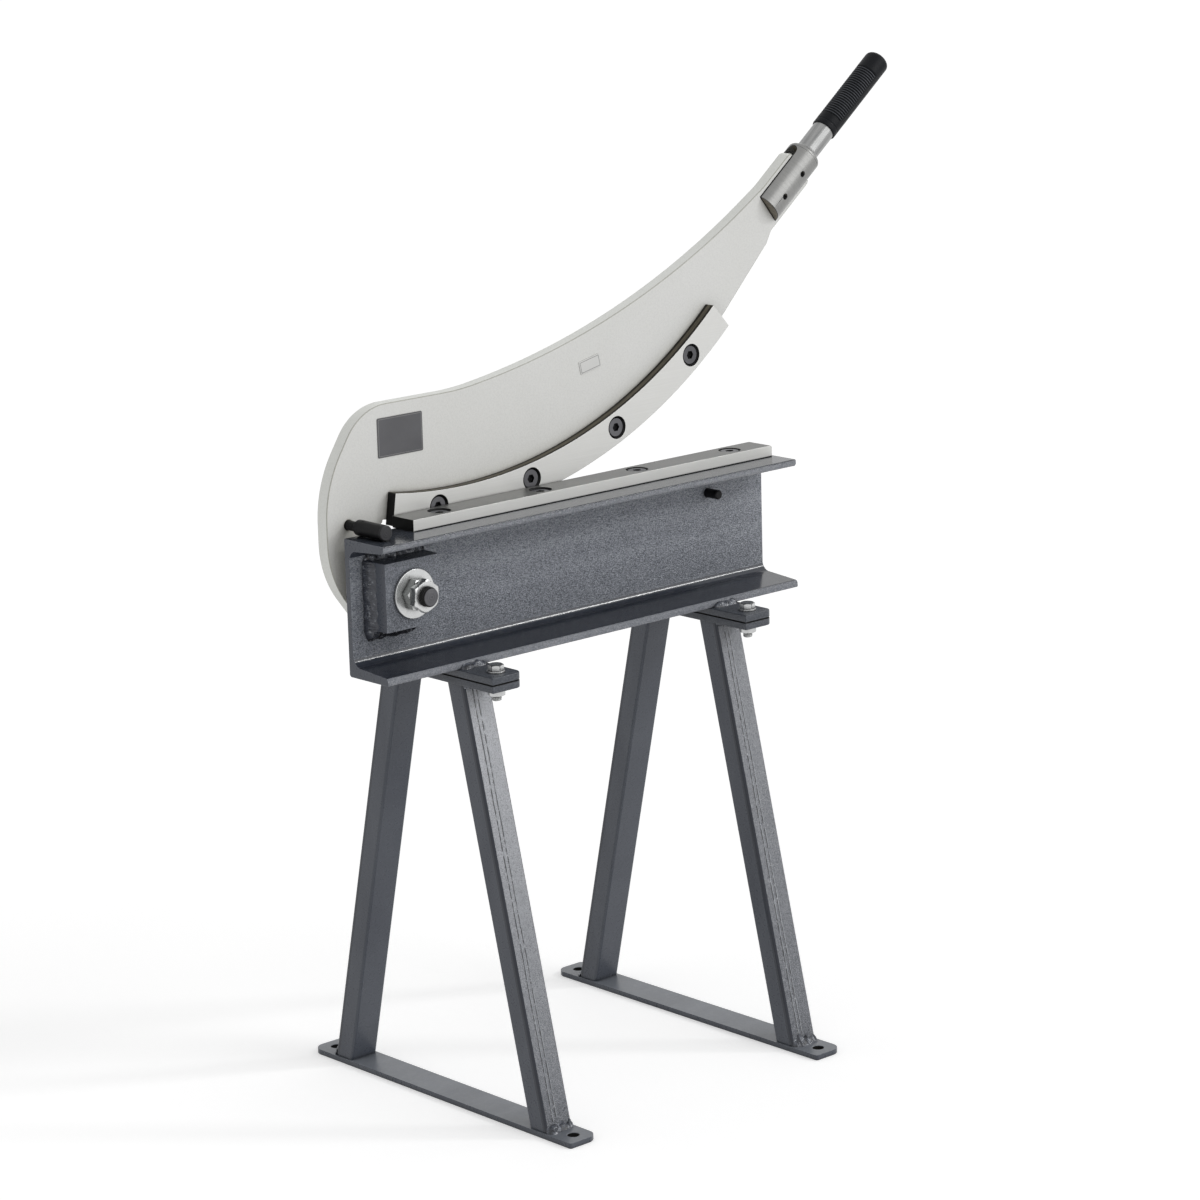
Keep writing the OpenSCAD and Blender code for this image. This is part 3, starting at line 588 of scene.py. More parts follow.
def make_finishes():
    """Every other finish by a short name, with its darker and its lighter colour."""
    across = (1500.0, 60.0, 60.0)
    lengthwise = (10.0, 260.0, 260.0)
    rows = (
        # These three are the web's enamel in darker colours, painted shade on faces turned from the
        # light: sides, flanges and rounded corners.
        ("side", smooth_enamel, "shaded smooth side enamel", (64, 68, 77), (76, 80, 88), 0.28),
        ("deep", smooth_enamel, "shaded deep glossy enamel", (32, 36, 46), (42, 46, 56), 0.16),
        ("gloss", smooth_enamel, "shaded glossy flange enamel", (46, 50, 58), (58, 62, 70), 0.13),
        ("bar", smooth_enamel, "bar top enamel", (98, 102, 109), (112, 116, 123), 0.3),
        # Weld beads: bright flecks on their crests are painted glints; the black one is painted shade
        # under the block and beside the legs' seam ridges.
        ("bead", bead_enamel, "enamelled weld bead", (34, 37, 45), (92, 97, 108), 0.75),
        ("bright bead", bead_enamel, "weld bead with strong painted glints", (26, 28, 34), (150, 154, 162), 1.0),
        ("calm bead", bead_enamel, "smooth dark weld bead", (46, 49, 58), (66, 70, 80), 0.3),
        ("black bead", bead_enamel, "black weld bead as painted shade", (10, 11, 14), (34, 36, 43), 0.6),
        # Pale strip of the legs' seam ridges, a painted highlight.
        ("seam", smooth_enamel, "seam enamel with painted highlight", (128, 131, 136), (160, 163, 167), 0.3),
        ("cream", cream_coat, "cream powder coat", (209, 209, 206), (213, 213, 211)),
        # The arm's eased edges take a greyer cream as painted shade, and its edge faces a paler cream
        # as painted light.
        ("cream line", cream_coat, "powder coat edge line with painted shade", (166, 166, 158), (180, 180, 172)),
        ("cream edge", cream_coat, "powder coat edge with painted light", (228, 229, 224), (234, 235, 231)),
        ("ground", ground_steel, "ground blade steel", (200, 200, 197), (212, 212, 210)),
        # The lower blade's top face in a darker steel, painted shade.
        ("ground top", ground_steel, "shaded blade steel top", (104, 104, 102), (120, 120, 118)),
        ("scale", blade_scale, "brown blade scale", (66, 62, 52), (108, 102, 88)),
        ("dark scale", blade_scale, "dark blade scale", (26, 24, 19), (50, 46, 38)),
        ("blue end", blade_scale, "blue-black blade end", (16, 20, 22), (34, 40, 42)),
        ("black", black_oxide, "black oxide steel", (8, 8, 9), (22, 22, 24)),
        ("screw", black_oxide, "worn screw face", (92, 92, 95), (114, 114, 117)),
        # Faced ends of black parts, lighter from wear; the socket's dark eased edges, painted shade
        # of the slot's gap; and the stand bolt heads' dark eased edges.
        ("worn end and edge shade", black_oxide, "worn black end and painted edge shade", (46, 46, 48), (70, 70, 72)),
        # Black of the pins, also used on hole walls, the plates' joint, the arm's tongue in the slot
        # and the strip along the lower blade as painted shade.
        ("pin", black_oxide, "black pin end and painted shade", (10, 10, 10), (18, 18, 18)),
        ("zinc", zinc_plate, "bright zinc plate", (189, 190, 190), (209, 210, 210), 0.26),
        ("nut side", zinc_plate, "shaded zinc facets", (114, 116, 115), (142, 144, 143), 0.14),
        ("socket", turned_steel, "satin turned socket", (128, 128, 127), (150, 150, 148),
         0.34, across),
        ("rod", turned_steel, "bright drawn rod", (118, 119, 119), (182, 182, 181),
         0.24, lengthwise),
        ("sawn", sawn_steel, "sawn steel end", (96, 90, 79), (138, 132, 120)),
        ("bronze", bearing_bronze, "bearing bronze", (140, 108, 62), (176, 140, 84)),
        ("rubber", grip_rubber, "black grip rubber", (5, 7, 11), (11, 13, 18)),
        # Rib crests a lighter grey, a painted highlight.
        ("rib", grip_rubber, "rib crests with painted highlight", (58, 60, 65), (84, 86, 91)),
        ("dark plate", plate_finish, "bare dark plate", (76, 76, 79), (86, 86, 89), 0.4),
        ("pale plate", plate_finish, "bare pale plate", (200, 200, 198), (212, 212, 210), 0.35),
        ("plate line", plate_finish, "plate border line", (112, 112, 112), (134, 134, 133), 0.4),
    )
    return {row[0]: row[1](*row[2:]) for row in rows}


# Meshes


def cad_mesh(node):
    """Clean mesh of a CAD node: corners joined and flat faces whole."""
    mesh = bmesh.new()
    mesh.from_mesh(NODES[node].data)
    bmesh.ops.remove_doubles(mesh, verts=mesh.verts, dist=0.002 * MM)
    flat = math.radians(0.3)
    bmesh.ops.dissolve_limit(mesh, angle_limit=flat, verts=mesh.verts, edges=mesh.edges)
    return mesh


def add_piece(
    name, mesh, finishes, node, extra=False, edge=0.0, steps=2, angle=32.0, edge_finish=-1
):
    """Object from a mesh, in a node's body, with soft edges, that stands for the node.

    An extra piece only goes with the node, which another piece stands for.
    """
    bmesh.ops.recalc_face_normals(mesh, faces=mesh.faces)
    data = bpy.data.meshes.new(name)
    mesh.to_mesh(data)
    mesh.free()
    for finish in finishes:
        data.materials.append(FINISH[finish])
    for face in data.polygons:
        face.use_smooth = True
    piece = bpy.data.objects.new(name, data)
    bpy.context.scene.collection.objects.link(piece)
    if edge:
        soft = piece.modifiers.new("soft edges", "BEVEL")
        soft.width = edge
        soft.segments = steps
        soft.limit_method = "ANGLE"
        soft.angle_limit = math.radians(angle)
        soft.use_clamp_overlap = False
        soft.material = edge_finish
    else:
        data.set_sharp_from_angle(angle=math.radians(angle))
    even = piece.modifiers.new("even shading", "WEIGHTED_NORMAL")
    even.keep_sharp = True
    even.weight = 60
    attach(piece, BODY_OF[node])
    if not extra:
        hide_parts(node)


def paint_faces(mesh, rule):
    """Gives each face the number of the finish that the rule picks from its normal and middle."""
    bmesh.ops.recalc_face_normals(mesh, faces=mesh.faces)
    for face in mesh.faces:
        face.material_index = rule(face.normal, face.calc_center_median())


def long_edges(mesh, direction, length, test):
    """Edges along a direction that are longer than length and pass a test of their middle."""
    found = []
    for edge in mesh.edges:
        run = edge.verts[1].co - edge.verts[0].co
        middle = (edge.verts[0].co + edge.verts[1].co) / 2
        if run.length > length and abs(run.normalized().dot(direction)) > 0.99 and test(middle):
            found.append(edge)
    return found


def round_edges(mesh, edges, width, steps):
    """Rounds edges to a width."""
    bmesh.ops.bevel(
        mesh, geom=edges, offset=width, offset_type="OFFSET", segments=steps, profile=0.5,
        affect="EDGES", clamp_overlap=True,
    )


def separate_parts(mesh):
    """Lists of joined vertices, one for each loose part."""
    seen = set()
    parts = []
    for first in mesh.verts:
        if first in seen:
            continue
        seen.add(first)
        part = [first]
        for vert in part:
            others = [edge.other_vert(vert) for edge in vert.link_edges]
            part += [other for other in others if other not in seen]
            seen.update(others)
        parts.append(part)
    return parts


def split(mesh, point, normal, **settings):
    """Splits faces along a plane."""
    parts = mesh.verts[:] + mesh.edges[:] + mesh.faces[:]
    bmesh.ops.bisect_plane(mesh, geom=parts, plane_co=point, plane_no=normal, **settings)


def cut_off(mesh, point, normal):
    """Cuts away what lies on the normal's side of a plane and closes the cut."""
    split(mesh, point, normal, dist=0.001 * MM, clear_outer=True)
    bmesh.ops.edgeloop_fill(mesh, edges=[edge for edge in mesh.edges if edge.is_boundary])


def round_corner(mesh, corner, outward, radius, steps=10):
    """Cuts a square corner of a flat bar to a round one, a few degrees at a time."""
    centre = corner - outward * radius
    for step in range(steps):
        angle = math.pi / 2 * (step + 0.5) / steps
        normal = Vector((outward.x * math.cos(angle), outward.y * math.sin(angle), 0))
        cut_off(mesh, centre + normal * radius, normal)


def add_tube(mesh, rings, finish=0):
    """Closed skin over rings of points, with a flat end at each side."""
    rows = [[mesh.verts.new(point) for point in ring] for ring in rings]
    count = len(rows[0])
    faces = [mesh.faces.new(rows[0]), mesh.faces.new(rows[-1])]
    for first, second in zip(rows, rows[1:]):
        for i in range(count):
            j = (i + 1) % count
            faces.append(mesh.faces.new((first[i], first[j], second[j], second[i])))
    for face in faces:
        face.material_index = finish


def ring_of(centre, direction, radii):
    """Points round a centre, square to a direction, each at its own radius."""
    helper = UP if abs(direction.z) < 0.9 else ALONG
    side = direction.cross(helper).normalized()
    up = direction.cross(side).normalized()
    ring = []
    for number, radius in enumerate(radii):
        turn = 2 * math.pi * number / len(radii)
        ring.append(centre + side * (math.cos(turn) * radius) + up * (math.sin(turn) * radius))
    return ring


def add_turned(mesh, start, direction, profile, count=48):
    """Turned body whose profile lists distances along a direction and radii."""
    rings = [ring_of(start + direction * run, direction, [size] * count) for run, size in profile]
    add_tube(mesh, rings)


def faced_end(run, radius):
    """Profile of a faced bar end: fine turned rings and a centre mark."""
    cuts = (
        (0.86, 0.0), (0.83, 0.16), (0.66, 0.16), (0.63, 0.0), (0.46, 0.0), (0.43, 0.12),
        (0.30, 0.12), (0.27, 0.0), (0.16, 0.05), (0.06, 0.55),
    )
    return [(run - drop * MM, radius * share) for share, drop in cuts]


def add_thread(mesh, start, direction, length, radius, pitch, depth, chamfer, count=48):
    """Bar end with a helical thread and a chamfer, from start along a direction."""
    rings = []
    stations = int(length / pitch * 8)
    for row in range(stations + 1):
        along = length * row / stations
        taper = max(0.0, along - (length - chamfer))
        radii = []
        for number in range(count):
            phase = (along / pitch - number / count) % 1.0
            groove = depth * max(0.0, 1 - abs(2 * phase - 1) * 1.15)
            radii.append(min(radius - groove, radius - taper))
        rings.append(ring_of(start + direction * along, direction, radii))
    for run, size in faced_end(length, radius - chamfer):
        rings.append(ring_of(start + direction * run, direction, [size] * count))
    add_tube(mesh, rings)


def add_bead(mesh, start, end, first, second, first_leg, second_leg, rough, seed):
    """Rippled weld bead in a corner, with its toes on two faces and its ends run out."""
    station = 0.7 * MM
    ripple = 2.8 * MM
    run_out = 3.5 * MM
    sunk = 0.3 * MM
    points = 12
    along = end - start
    count = max(6, int(along.length / station))
    out = (first + second).normalized()
    rings = []
    for row in range(count + 1):
        share = row / count
        run = share * along.length
        fade = min(1.0, math.sqrt(max(0.02, min(run, along.length - run) / run_out)))
        corner = start + along * share
        wave = math.sin(run / ripple * 2 * math.pi + 0.5 * noise.noise(corner * 300))
        wander = noise.noise(Vector((run * 90, seed, 0)))
        ragged = noise.noise(Vector((run * 160, seed, 7)))
        toe = corner + first * first_leg * fade * (1 + 0.35 * rough * wander) - second * sunk
        top = corner + second * second_leg * fade * (1 + 0.45 * rough * ragged) - first * sunk
        bulge = fade * min(first_leg, second_leg) * (0.22 + 0.09 * wave)
        ring = [corner - (first + second) * sunk, toe]
        for step in range(1, points):
            part = step / points
            swell = math.sin(math.pi * part)
            point = toe.lerp(top, part) + out * (bulge * swell)
            bump = noise.noise(point * 420 + Vector((seed, 0, 0)))
            lump = noise.noise(point * 160 + Vector((0, seed, 0)))
            ring.append(point + out * (swell * rough * (0.45 * bump + 0.7 * lump) * MM))
        ring.append(top)
        rings.append(ring)
    add_tube(mesh, rings)


def add_drop(mesh, place, normal, radius):
    """Flattened drop of spatter that sits on a face."""
    profile = []
    for row in range(5):
        lean = math.radians(5 + 80 * row / 4)
        profile.append((radius * (0.7 * math.sin(lean) - 0.15), radius * math.cos(lean)))
    add_turned(mesh, place, normal, profile, 10)


def scatter(seed, index):
    """Repeatable value from 0 to 1."""
    return (math.sin(seed * 12.9898 + index * 78.233) * 43758.5453) % 1.0


# Frame pieces


def make_beam():
    """Channel with rounded toes and a hammered web; its flanges, ends and back take darker enamels as
    painted shade.
    """
    mesh = cad_mesh("base_channel")
    toes = long_edges(
        mesh, ALONG, 0.2, lambda place: place.y < TOE_FRONT + 0.5 * MM
        and not BEAM_FOOT + 0.5 * MM <= place.z <= FLANGE_TOP - 0.5 * MM,
    )
    round_edges(mesh, toes, 1.4 * MM, 3)
    web, toe, side, gloss, deep = range(5)

    def rule(normal, middle):
        if abs(normal.x) > 0.9 or middle.y > -1 * MM:
            return side
        if middle.y < TOE_FRONT + 2 * MM and middle.z > PIVOT.z and 0.2 < normal.z < 0.98:
            return deep
        if normal.y < -0.5 and middle.y < TOE_FRONT + 10 * MM:
            return toe
        if abs(normal.y) > 0.97:
            return web
        if middle.z > FLANGE_TOP - 2 * MM:
            return gloss
        return deep if abs(normal.z) > 0.85 else gloss

    paint_faces(mesh, rule)
    finishes = ["web", "toe", "side", "gloss", "deep"]
    add_piece("channel_beam", mesh, finishes, "base_channel", edge=0.5 * MM, angle=50)


def make_block():
    """Pivot block with a hammered front, and its sides in the darker side enamel as painted shade."""
    mesh = cad_mesh("pivot_block")
    paint_faces(mesh, lambda normal, middle: 0 if normal.y < -0.7 else 1)
    add_piece("pivot_block_body", mesh, ["block", "side"], "pivot_block", edge=0.8 * MM)


def make_block_beads():
    """Ragged beads round the block, with spatter on the web beside them.

    The broad bead under the block is black, painted shade where the block's shadow falls; the bead
    above it carries bright painted glints.
    """
    left = PIVOT.x - BLOCK_HALF
    right = PIVOT.x + BLOCK_HALF
    top = PIVOT.z + BLOCK_HALF
    low = PIVOT.z - BLOCK_HALF

    def add_web_bead(mesh, start, end, outward, reach, height, rough, seed):
        places = [Vector((x, WEB_FRONT, z)) for x, z in (start, end)]
        add_bead(mesh, *places, outward, FRONT, reach * MM, height * MM, rough, seed)

    def add_web_drop(mesh, x, z, radius):
        add_drop(mesh, Vector((x, WEB_FRONT, z)), FRONT, radius * MM)

    mesh = bmesh.new()
    add_web_bead(mesh, (left - 3 * MM, top), (right + 4 * MM, top), UP, 6, 7, 1.2, 3)
    add_web_bead(mesh, (left - 4 * MM, low), (right - 11 * MM, low), -UP, 13, 8, 0.8, 23)
    # Beads below the pivot take the black painted shade, those above it the bright painted glints.
    paint_faces(mesh, lambda normal, middle: middle.z > PIVOT.z)
    for i in range(34):
        x = left + 75 * MM * scatter(1, i)
        z = top + 3 * MM + 10 * MM * scatter(2, i)
        add_web_drop(mesh, x, z, 0.35 + 0.6 * scatter(3, i))
    finishes = ["black bead", "bright bead"]
    add_piece("pivot_block_shade_and_glint_beads", mesh, finishes, "pivot_block_welds", extra=True, angle=70)
    mesh = bmesh.new()
    add_web_bead(mesh, (left, low - 4 * MM), (left, top + 2 * MM), -ALONG, 5, 16, 0.45, 11)
    add_web_bead(mesh, (left - 5 * MM, low), (left + 10 * MM, low), -UP, 10.5, 12, 0.5, 29)
    for i in range(16):
        x = left - 3 * MM - 12 * MM * scatter(4, i)
        z = low + 2 * BLOCK_HALF * scatter(5, i)
        add_web_drop(mesh, x, z, 0.3 + 0.4 * scatter(6, i))
    add_piece("pivot_block_side_bead", mesh, ["calm bead"], "pivot_block_welds", angle=70)


def sink_heads(mesh, direction, flush_from=10.0):
    """Lets each screw's head sit deeper in its hole, with a small gap round it.

    Heads to the right of flush_from stay almost flush.
    """
    for part in separate_parts(mesh):
        middle = sum((vert.co for vert in part), Vector()) / len(part)
        top = max(vert.co.dot(direction) for vert in part)
        sink = 0.4 * MM if middle.x > flush_from else 1.5 * MM
        for vert in part:
            if top - vert.co.dot(direction) > 1.2 * MM:
                continue
            arm = vert.co - middle
            arm -= direction * arm.dot(direction)
            if arm.length > 8 * MM:
                vert.co -= arm * 0.19
            vert.co -= direction * sink
    level = max(vert.co.dot(direction) for vert in mesh.verts) - 1.4 * MM
    paint_faces(
        mesh, lambda normal, middle: normal.dot(direction) > 0.9 and middle.dot(direction) > level
    )


def make_lower_blade():
    """Ground blade with dark ends and eased end corners, its top face and hole walls darker as
    painted shade, a black strip along its foot as painted shade of the contact gap, and its screws.
    """
    mesh = cad_mesh("lower_blade")
    low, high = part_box("lower_blade")
    ends = long_edges(
        mesh, BACK, 0.02, lambda place: place.z > high[2] - 0.5 * MM and place.x > high[0] - 1 * MM
    )
    round_edges(mesh, ends, 2.2 * MM, 3)
    screw_y = (low[1] + high[1]) / 2
    screw_reach = 0.26
    ground, end, top, hole = range(4)

    def rule(normal, middle):
        in_hole = abs(middle.y - screw_y) < 12.5 * MM and abs(middle.x) < screw_reach
        if in_hole and abs(normal.z) < 0.9:
            return hole
        if abs(normal.x) > 0.9:
            return end
        return top if normal.z > 0.9 else ground

    paint_faces(mesh, rule)
    finishes = ["ground", "blue end", "ground top", "pin"]
    add_piece("lower_blade_ground", mesh, finishes, "lower_blade", edge=0.35 * MM, angle=40)
    # Black strip along the blade's foot: painted shade where the blade meets the flange.
    line = bmesh.new()
    foot = Vector((low[0] + 1 * MM, low[1], FLANGE_TOP))
    run = Vector((high[0] - low[0] - 2 * MM, 0, 0))
    section = [Vector((0, y, z)) for y, z in ((1, -0.2), (-0.4, -0.2), (-0.4, 0.75), (1, 1.1))]
    add_tube(line, [[foot + run * share + point * MM for point in section] for share in (0, 1)])
    add_piece("lower_blade_shade_line", line, ["pin"], "base_channel", extra=True, edge=0.1 * MM)
    screws = cad_mesh("lower_blade_screws")
    sink_heads(screws, UP, flush_from=0.0)
    finishes = ["black", "screw"]
    add_piece(
        "lower_blade_socket_screws", screws, finishes, "lower_blade_screws", edge=0.45 * MM
    )


def make_pivot():
    """Threaded pivot bolt with its nuts, washers and spacer, and the down stop."""
    mesh = cad_mesh("pivot_bolt")
    thread = 9.5 * MM
    cut_off(mesh, Vector((0, BOLT_FRONT + thread - 0.5 * MM, 0)), FRONT)
    start = Vector((PIVOT.x, BOLT_FRONT + thread, PIVOT.z))
    add_thread(mesh, start, FRONT, thread, 10 * MM, 2.5 * MM, 1.1 * MM, 1.8 * MM)
    head, face, shank = range(3)

    def rule(normal, middle):
        if middle.y < BOLT_FRONT + 0.7 * MM:
            return face
        return shank if middle.y < 0 else head

    paint_faces(mesh, rule)
    add_piece("pivot_bolt_threaded", mesh, ["black", "screw", "pin"], "pivot_bolt", angle=28)
    for node in ("front_washer", "rear_washer"):
        add_piece(node + "_zinc", cad_mesh(node), ["zinc"], node, edge=0.5 * MM)
    for node in ("pivot_nut", "lock_nut"):
        mesh = cad_mesh(node)
        # Side facets take the shaded zinc, painted shade.
        paint_faces(mesh, lambda normal, middle: abs(normal.y) < 0.3 and normal.z > -0.6)
        add_piece(node + "_zinc", mesh, ["zinc", "nut side"], node, edge=0.35 * MM, angle=24)
    node = "thrust_spacer"
    add_piece(node + "_turned", cad_mesh(node), ["ground"], node, edge=0.5 * MM)
    mesh = cad_mesh("down_stop_pin")
    for vert in mesh.verts:
        if abs(vert.co.y - ARM_FRONT) < 0.1 * MM:
            vert.co.y += 0.25 * MM
    add_piece("down_stop_pin_black", mesh, ["black"], "down_stop_pin", edge=0.3 * MM)


def make_plates():
    """Four flat plates between the beam and the stands, and the beads on them."""
    for side in ("left", "right"):
        for level in ("beam", "stand"):
            make_plate(f"{side}_{level}_plate")
    mesh = bmesh.new()
    for number, x in enumerate(STAND_X.values()):
        for y, out in ((TOE_FRONT, FRONT), (0.0, BACK)):
            start = Vector((x - 17 * MM, y, BEAM_FOOT))
            end = Vector((x + 16 * MM, y, BEAM_FOOT))
            seed = 31 + 5 * number + y * 100
            add_bead(mesh, start, end, out, UP, 5.5 * MM, 5 * MM, 1.2, seed)
    add_piece("beam_plate_beads", mesh, ["bead"], "beam_plate_welds", angle=70)


def make_plate(node):
    """Flat plate whose rim is eased where it meets the other plate, and black there as painted shade
    of the gap.
    """
    mesh = cad_mesh(node)

    def on_joint(vert):
        place = vert.co
        hole = math.hypot(abs(place.x) - STAND_X["right"], abs(place.y) - STAND_BOLT_Y)
        return abs(place.z - PLATE_JOINT) <= 0.02 * MM and hole >= 8 * MM

    rim = [
        edge for edge in mesh.edges
        if all(on_joint(vert) for vert in edge.verts)
        and any(abs(face.normal.z) < 0.5 for face in edge.link_faces)
    ]
    round_edges(mesh, rim, 0.9 * MM, 1)
    paint_faces(
        mesh, lambda normal, middle: 0.3 < abs(normal.z) < 0.95
        and abs(middle.z - PLATE_JOINT) < 1 * MM,
    )
    finishes = ["plate", "pin"]
    add_piece(node + "_enamelled", mesh, finishes, node, edge=1.1 * MM, steps=3, angle=60)


def leg_face(z):
    """Distance of a leg's outer face from the middle, at height z."""
    return LEG_FOOT_Y - (z - BAR_TOP) * (LEG_FOOT_Y - LEG_HEAD_Y) / (LEG_TOP - BAR_TOP)


def up_leg(sign):
    """Direction up a leg. The sign is -1 for a front leg and 1 for a rear one."""
    return Vector((0, sign * (LEG_HEAD_Y - LEG_FOOT_Y), LEG_TOP - BAR_TOP)).normalized()


def make_leg(side, end):
    """Tube with rounded corners and its seam down the outer face.

    Its rounded corners and a band of the side face beside them are darker as painted shade and
    reflection, its other side faces take the darker side enamel as painted shade, and each seam
    ridge has a black strip of painted shade beside a pale strip of painted highlight.
    """
    node = f"{side}_{end}_leg"
    middle_x = STAND_X[side]
    sign = -1 if end == "front" else 1
    mesh = cad_mesh(node)
    rise = up_leg(sign)
    corners = long_edges(mesh, rise, 0.3, lambda place: abs(place.x - middle_x) > 16.5 * MM)
    round_edges(mesh, corners, 3.0 * MM, 5)
    out = Vector((0, sign * rise.z, -sign * rise.y))
    foot = Vector((middle_x, sign * LEG_FOOT_Y, BAR_TOP))
    band = 5.5 * MM
    split(mesh, foot - out * band, out, dist=0.001 * MM)
    outer, inner, corner, near = range(4)

    def rule(normal, middle):
        facing = normal.dot(out)
        if facing > 0.97:
            return outer
        if facing > 0.1:
            return corner
        return near if (foot - middle).dot(out) < band else inner

    paint_faces(mesh, rule)
    finishes = [f"{side} leg", "side", "deep", "gloss"]
    add_piece(node + "_tube", mesh, finishes, node, angle=40)
    seam = bmesh.new()
    for offset, height in ((-6.4 * MM, 0.32 * MM), (-1.4 * MM, 0.22 * MM)):
        x = middle_x + offset
        add_seam(seam, x - 0.5 * MM, sign, out, 0.6 * MM, height, 0)
        add_seam(seam, x + 0.5 * MM, sign, out, 0.55 * MM, height * 0.8, 1)
    add_piece(node + "_seam", seam, ["black bead", "seam"], node, extra=True, angle=60)


def add_seam(mesh, middle_x, sign, out, half, height, finish, count=230):
    """Thin broken ridge along a leg's outer face, left by the tube's rolling."""
    start = BAR_TOP + 10 * MM
    rings = []
    for row in range(count + 1):
        z = start + (LEG_TOP - 3 * MM - start) * row / count
        swell = 0.5 + 1.3 * noise.noise(Vector((z * 150, round(middle_x * 300), sign)))
        ridge = height * min(1.0, max(0.0, swell))
        x = middle_x + 0.5 * MM * noise.noise(Vector((z * 25, 3, round(middle_x * 30))))
        base = Vector((x, sign * leg_face(z), z))
        section = (
            (-half, -0.3 * MM), (-half, ridge - 0.1 * MM), (0, ridge), (half, ridge - 0.1 * MM),
            (half, -0.3 * MM),
        )
        rings.append([base + ALONG * across + out * level for across, level in section])
    add_tube(mesh, rings, finish)


def make_stand(side):
    """Base bar, beads and bolts of one stand."""
    middle_x = STAND_X[side]
    make_base_bar(side, middle_x)
    mesh = bmesh.new()
    for sign in (-1, 1):
        seed = 50 + 7 * sign + 100 * middle_x
        rise = up_leg(sign)
        out = Vector((0, sign, 0))
        for y, z, toward, reach, height, rough, number in (
            (LEG_FOOT_Y, BAR_TOP, rise, 5.5 * MM, 7.5 * MM, 1.9, seed),
            (LEG_HEAD_Y, LEG_TOP, -rise, 4 * MM, 5 * MM, 1.4, seed + 3),
        ):
            ends = [Vector((middle_x + x, sign * y, z)) for x in (-LEG_HALF, LEG_HALF)]
            add_bead(mesh, *ends, out, toward, reach, height, rough, number)
        for i in range(12):
            z = BAR_TOP + 10 * MM + 14 * MM * scatter(seed, i)
            x = middle_x + 30 * MM * (scatter(seed + 1, i) - 0.5)
            place = Vector((x, sign * leg_face(z), z))
            normal = Vector((0, sign * rise.z, -rise.y))
            add_drop(mesh, place, normal, (0.4 + 0.5 * scatter(seed + 2, i)) * MM)
    add_piece(f"{side}_stand_beads", mesh, ["bead"], f"{side}_stand_welds", angle=70)
    make_stand_bolts(side, middle_x)


def make_base_bar(side, middle_x):
    """Flat bar with rounded corners and rims; its edges take the darker side enamel and its bolt
    holes black walls, both painted shade.
    """
    node = f"{side}_base_bar"
    mesh = cad_mesh(node)
    for sign in (-1, 1):
        for turn, radius in ((-sign, 13 * MM), (sign, 3 * MM)):
            corner = Vector((middle_x + turn * BAR_HALF, sign * BAR_TIP_Y, 0))
            round_corner(mesh, corner, Vector((turn, sign, 0)), radius)

    def at_hole(place):
        away = math.hypot(place.x - middle_x, abs(place.y) - FLOOR_HOLE_Y)
        return away < 7.5 * MM

    rim = [
        edge for edge in mesh.edges
        if all(vert.co.z > BAR_TOP - 0.1 * MM for vert in edge.verts)
        and not at_hole(edge.verts[0].co)
    ]
    round_edges(mesh, rim, 1.8 * MM, 4)
    edge_side, top, hole = range(3)

    def rule(normal, middle):
        if normal.z > 0.9:
            return top
        return hole if at_hole(middle) and abs(normal.z) < 0.5 else edge_side

    paint_faces(mesh, rule)
    add_piece(node + "_enamelled", mesh, ["side", "bar", "pin"], node, edge=1.0 * MM, steps=3)


def make_stand_bolts(side, middle_x):
    """Bolts with dark-edged hexagon heads, their threads, washers and nuts."""
    node = f"{side}_stand_bolts"
    mesh = cad_mesh(node)
    draw_in(mesh, middle_x, BEAM_FOOT + 1.9 * MM, 6.5 * MM, 0.9)
    cut_off(mesh, Vector((0, 0, LEG_TOP - 6 * MM)), -UP)
    paint_faces(mesh, lambda normal, middle: normal.z > 0.7 and middle.z > BEAM_FOOT)
    add_piece(
        node + "_zinc", mesh, ["zinc", "nut side", "worn end and edge shade"], node, edge=0.35 * MM, angle=40,
        edge_finish=2,
    )
    mesh = bmesh.new()
    for sign in (-1, 1):
        start = Vector((middle_x, sign * STAND_BOLT_Y, LEG_TOP - 5 * MM))
        add_thread(mesh, start, -UP, 8 * MM, 5 * MM, 1.5 * MM, 0.7 * MM, 0.9 * MM)
    add_piece(f"{side}_stand_bolt_threads", mesh, ["zinc"], node, extra=True, angle=30)
    for kind in ("washers", "nuts"):
        node = f"{side}_stand_{kind}"
        mesh = cad_mesh(node)
        if kind == "washers":
            draw_in(mesh, middle_x, 0.0, 7 * MM, 0.92)
        add_piece(node + "_zinc", mesh, ["zinc"], node, edge=0.3 * MM, angle=24)


def draw_in(mesh, middle_x, above, radius, share):
    """Narrows what lies above a height and outside a radius of the stand's bolts."""
    for vert in mesh.verts:
        centre = Vector((middle_x, math.copysign(STAND_BOLT_Y, vert.co.y), vert.co.z))
        arm = vert.co - centre
        if vert.co.z > above and arm.length > radius:
            vert.co = centre + arm * share


# Arm pieces


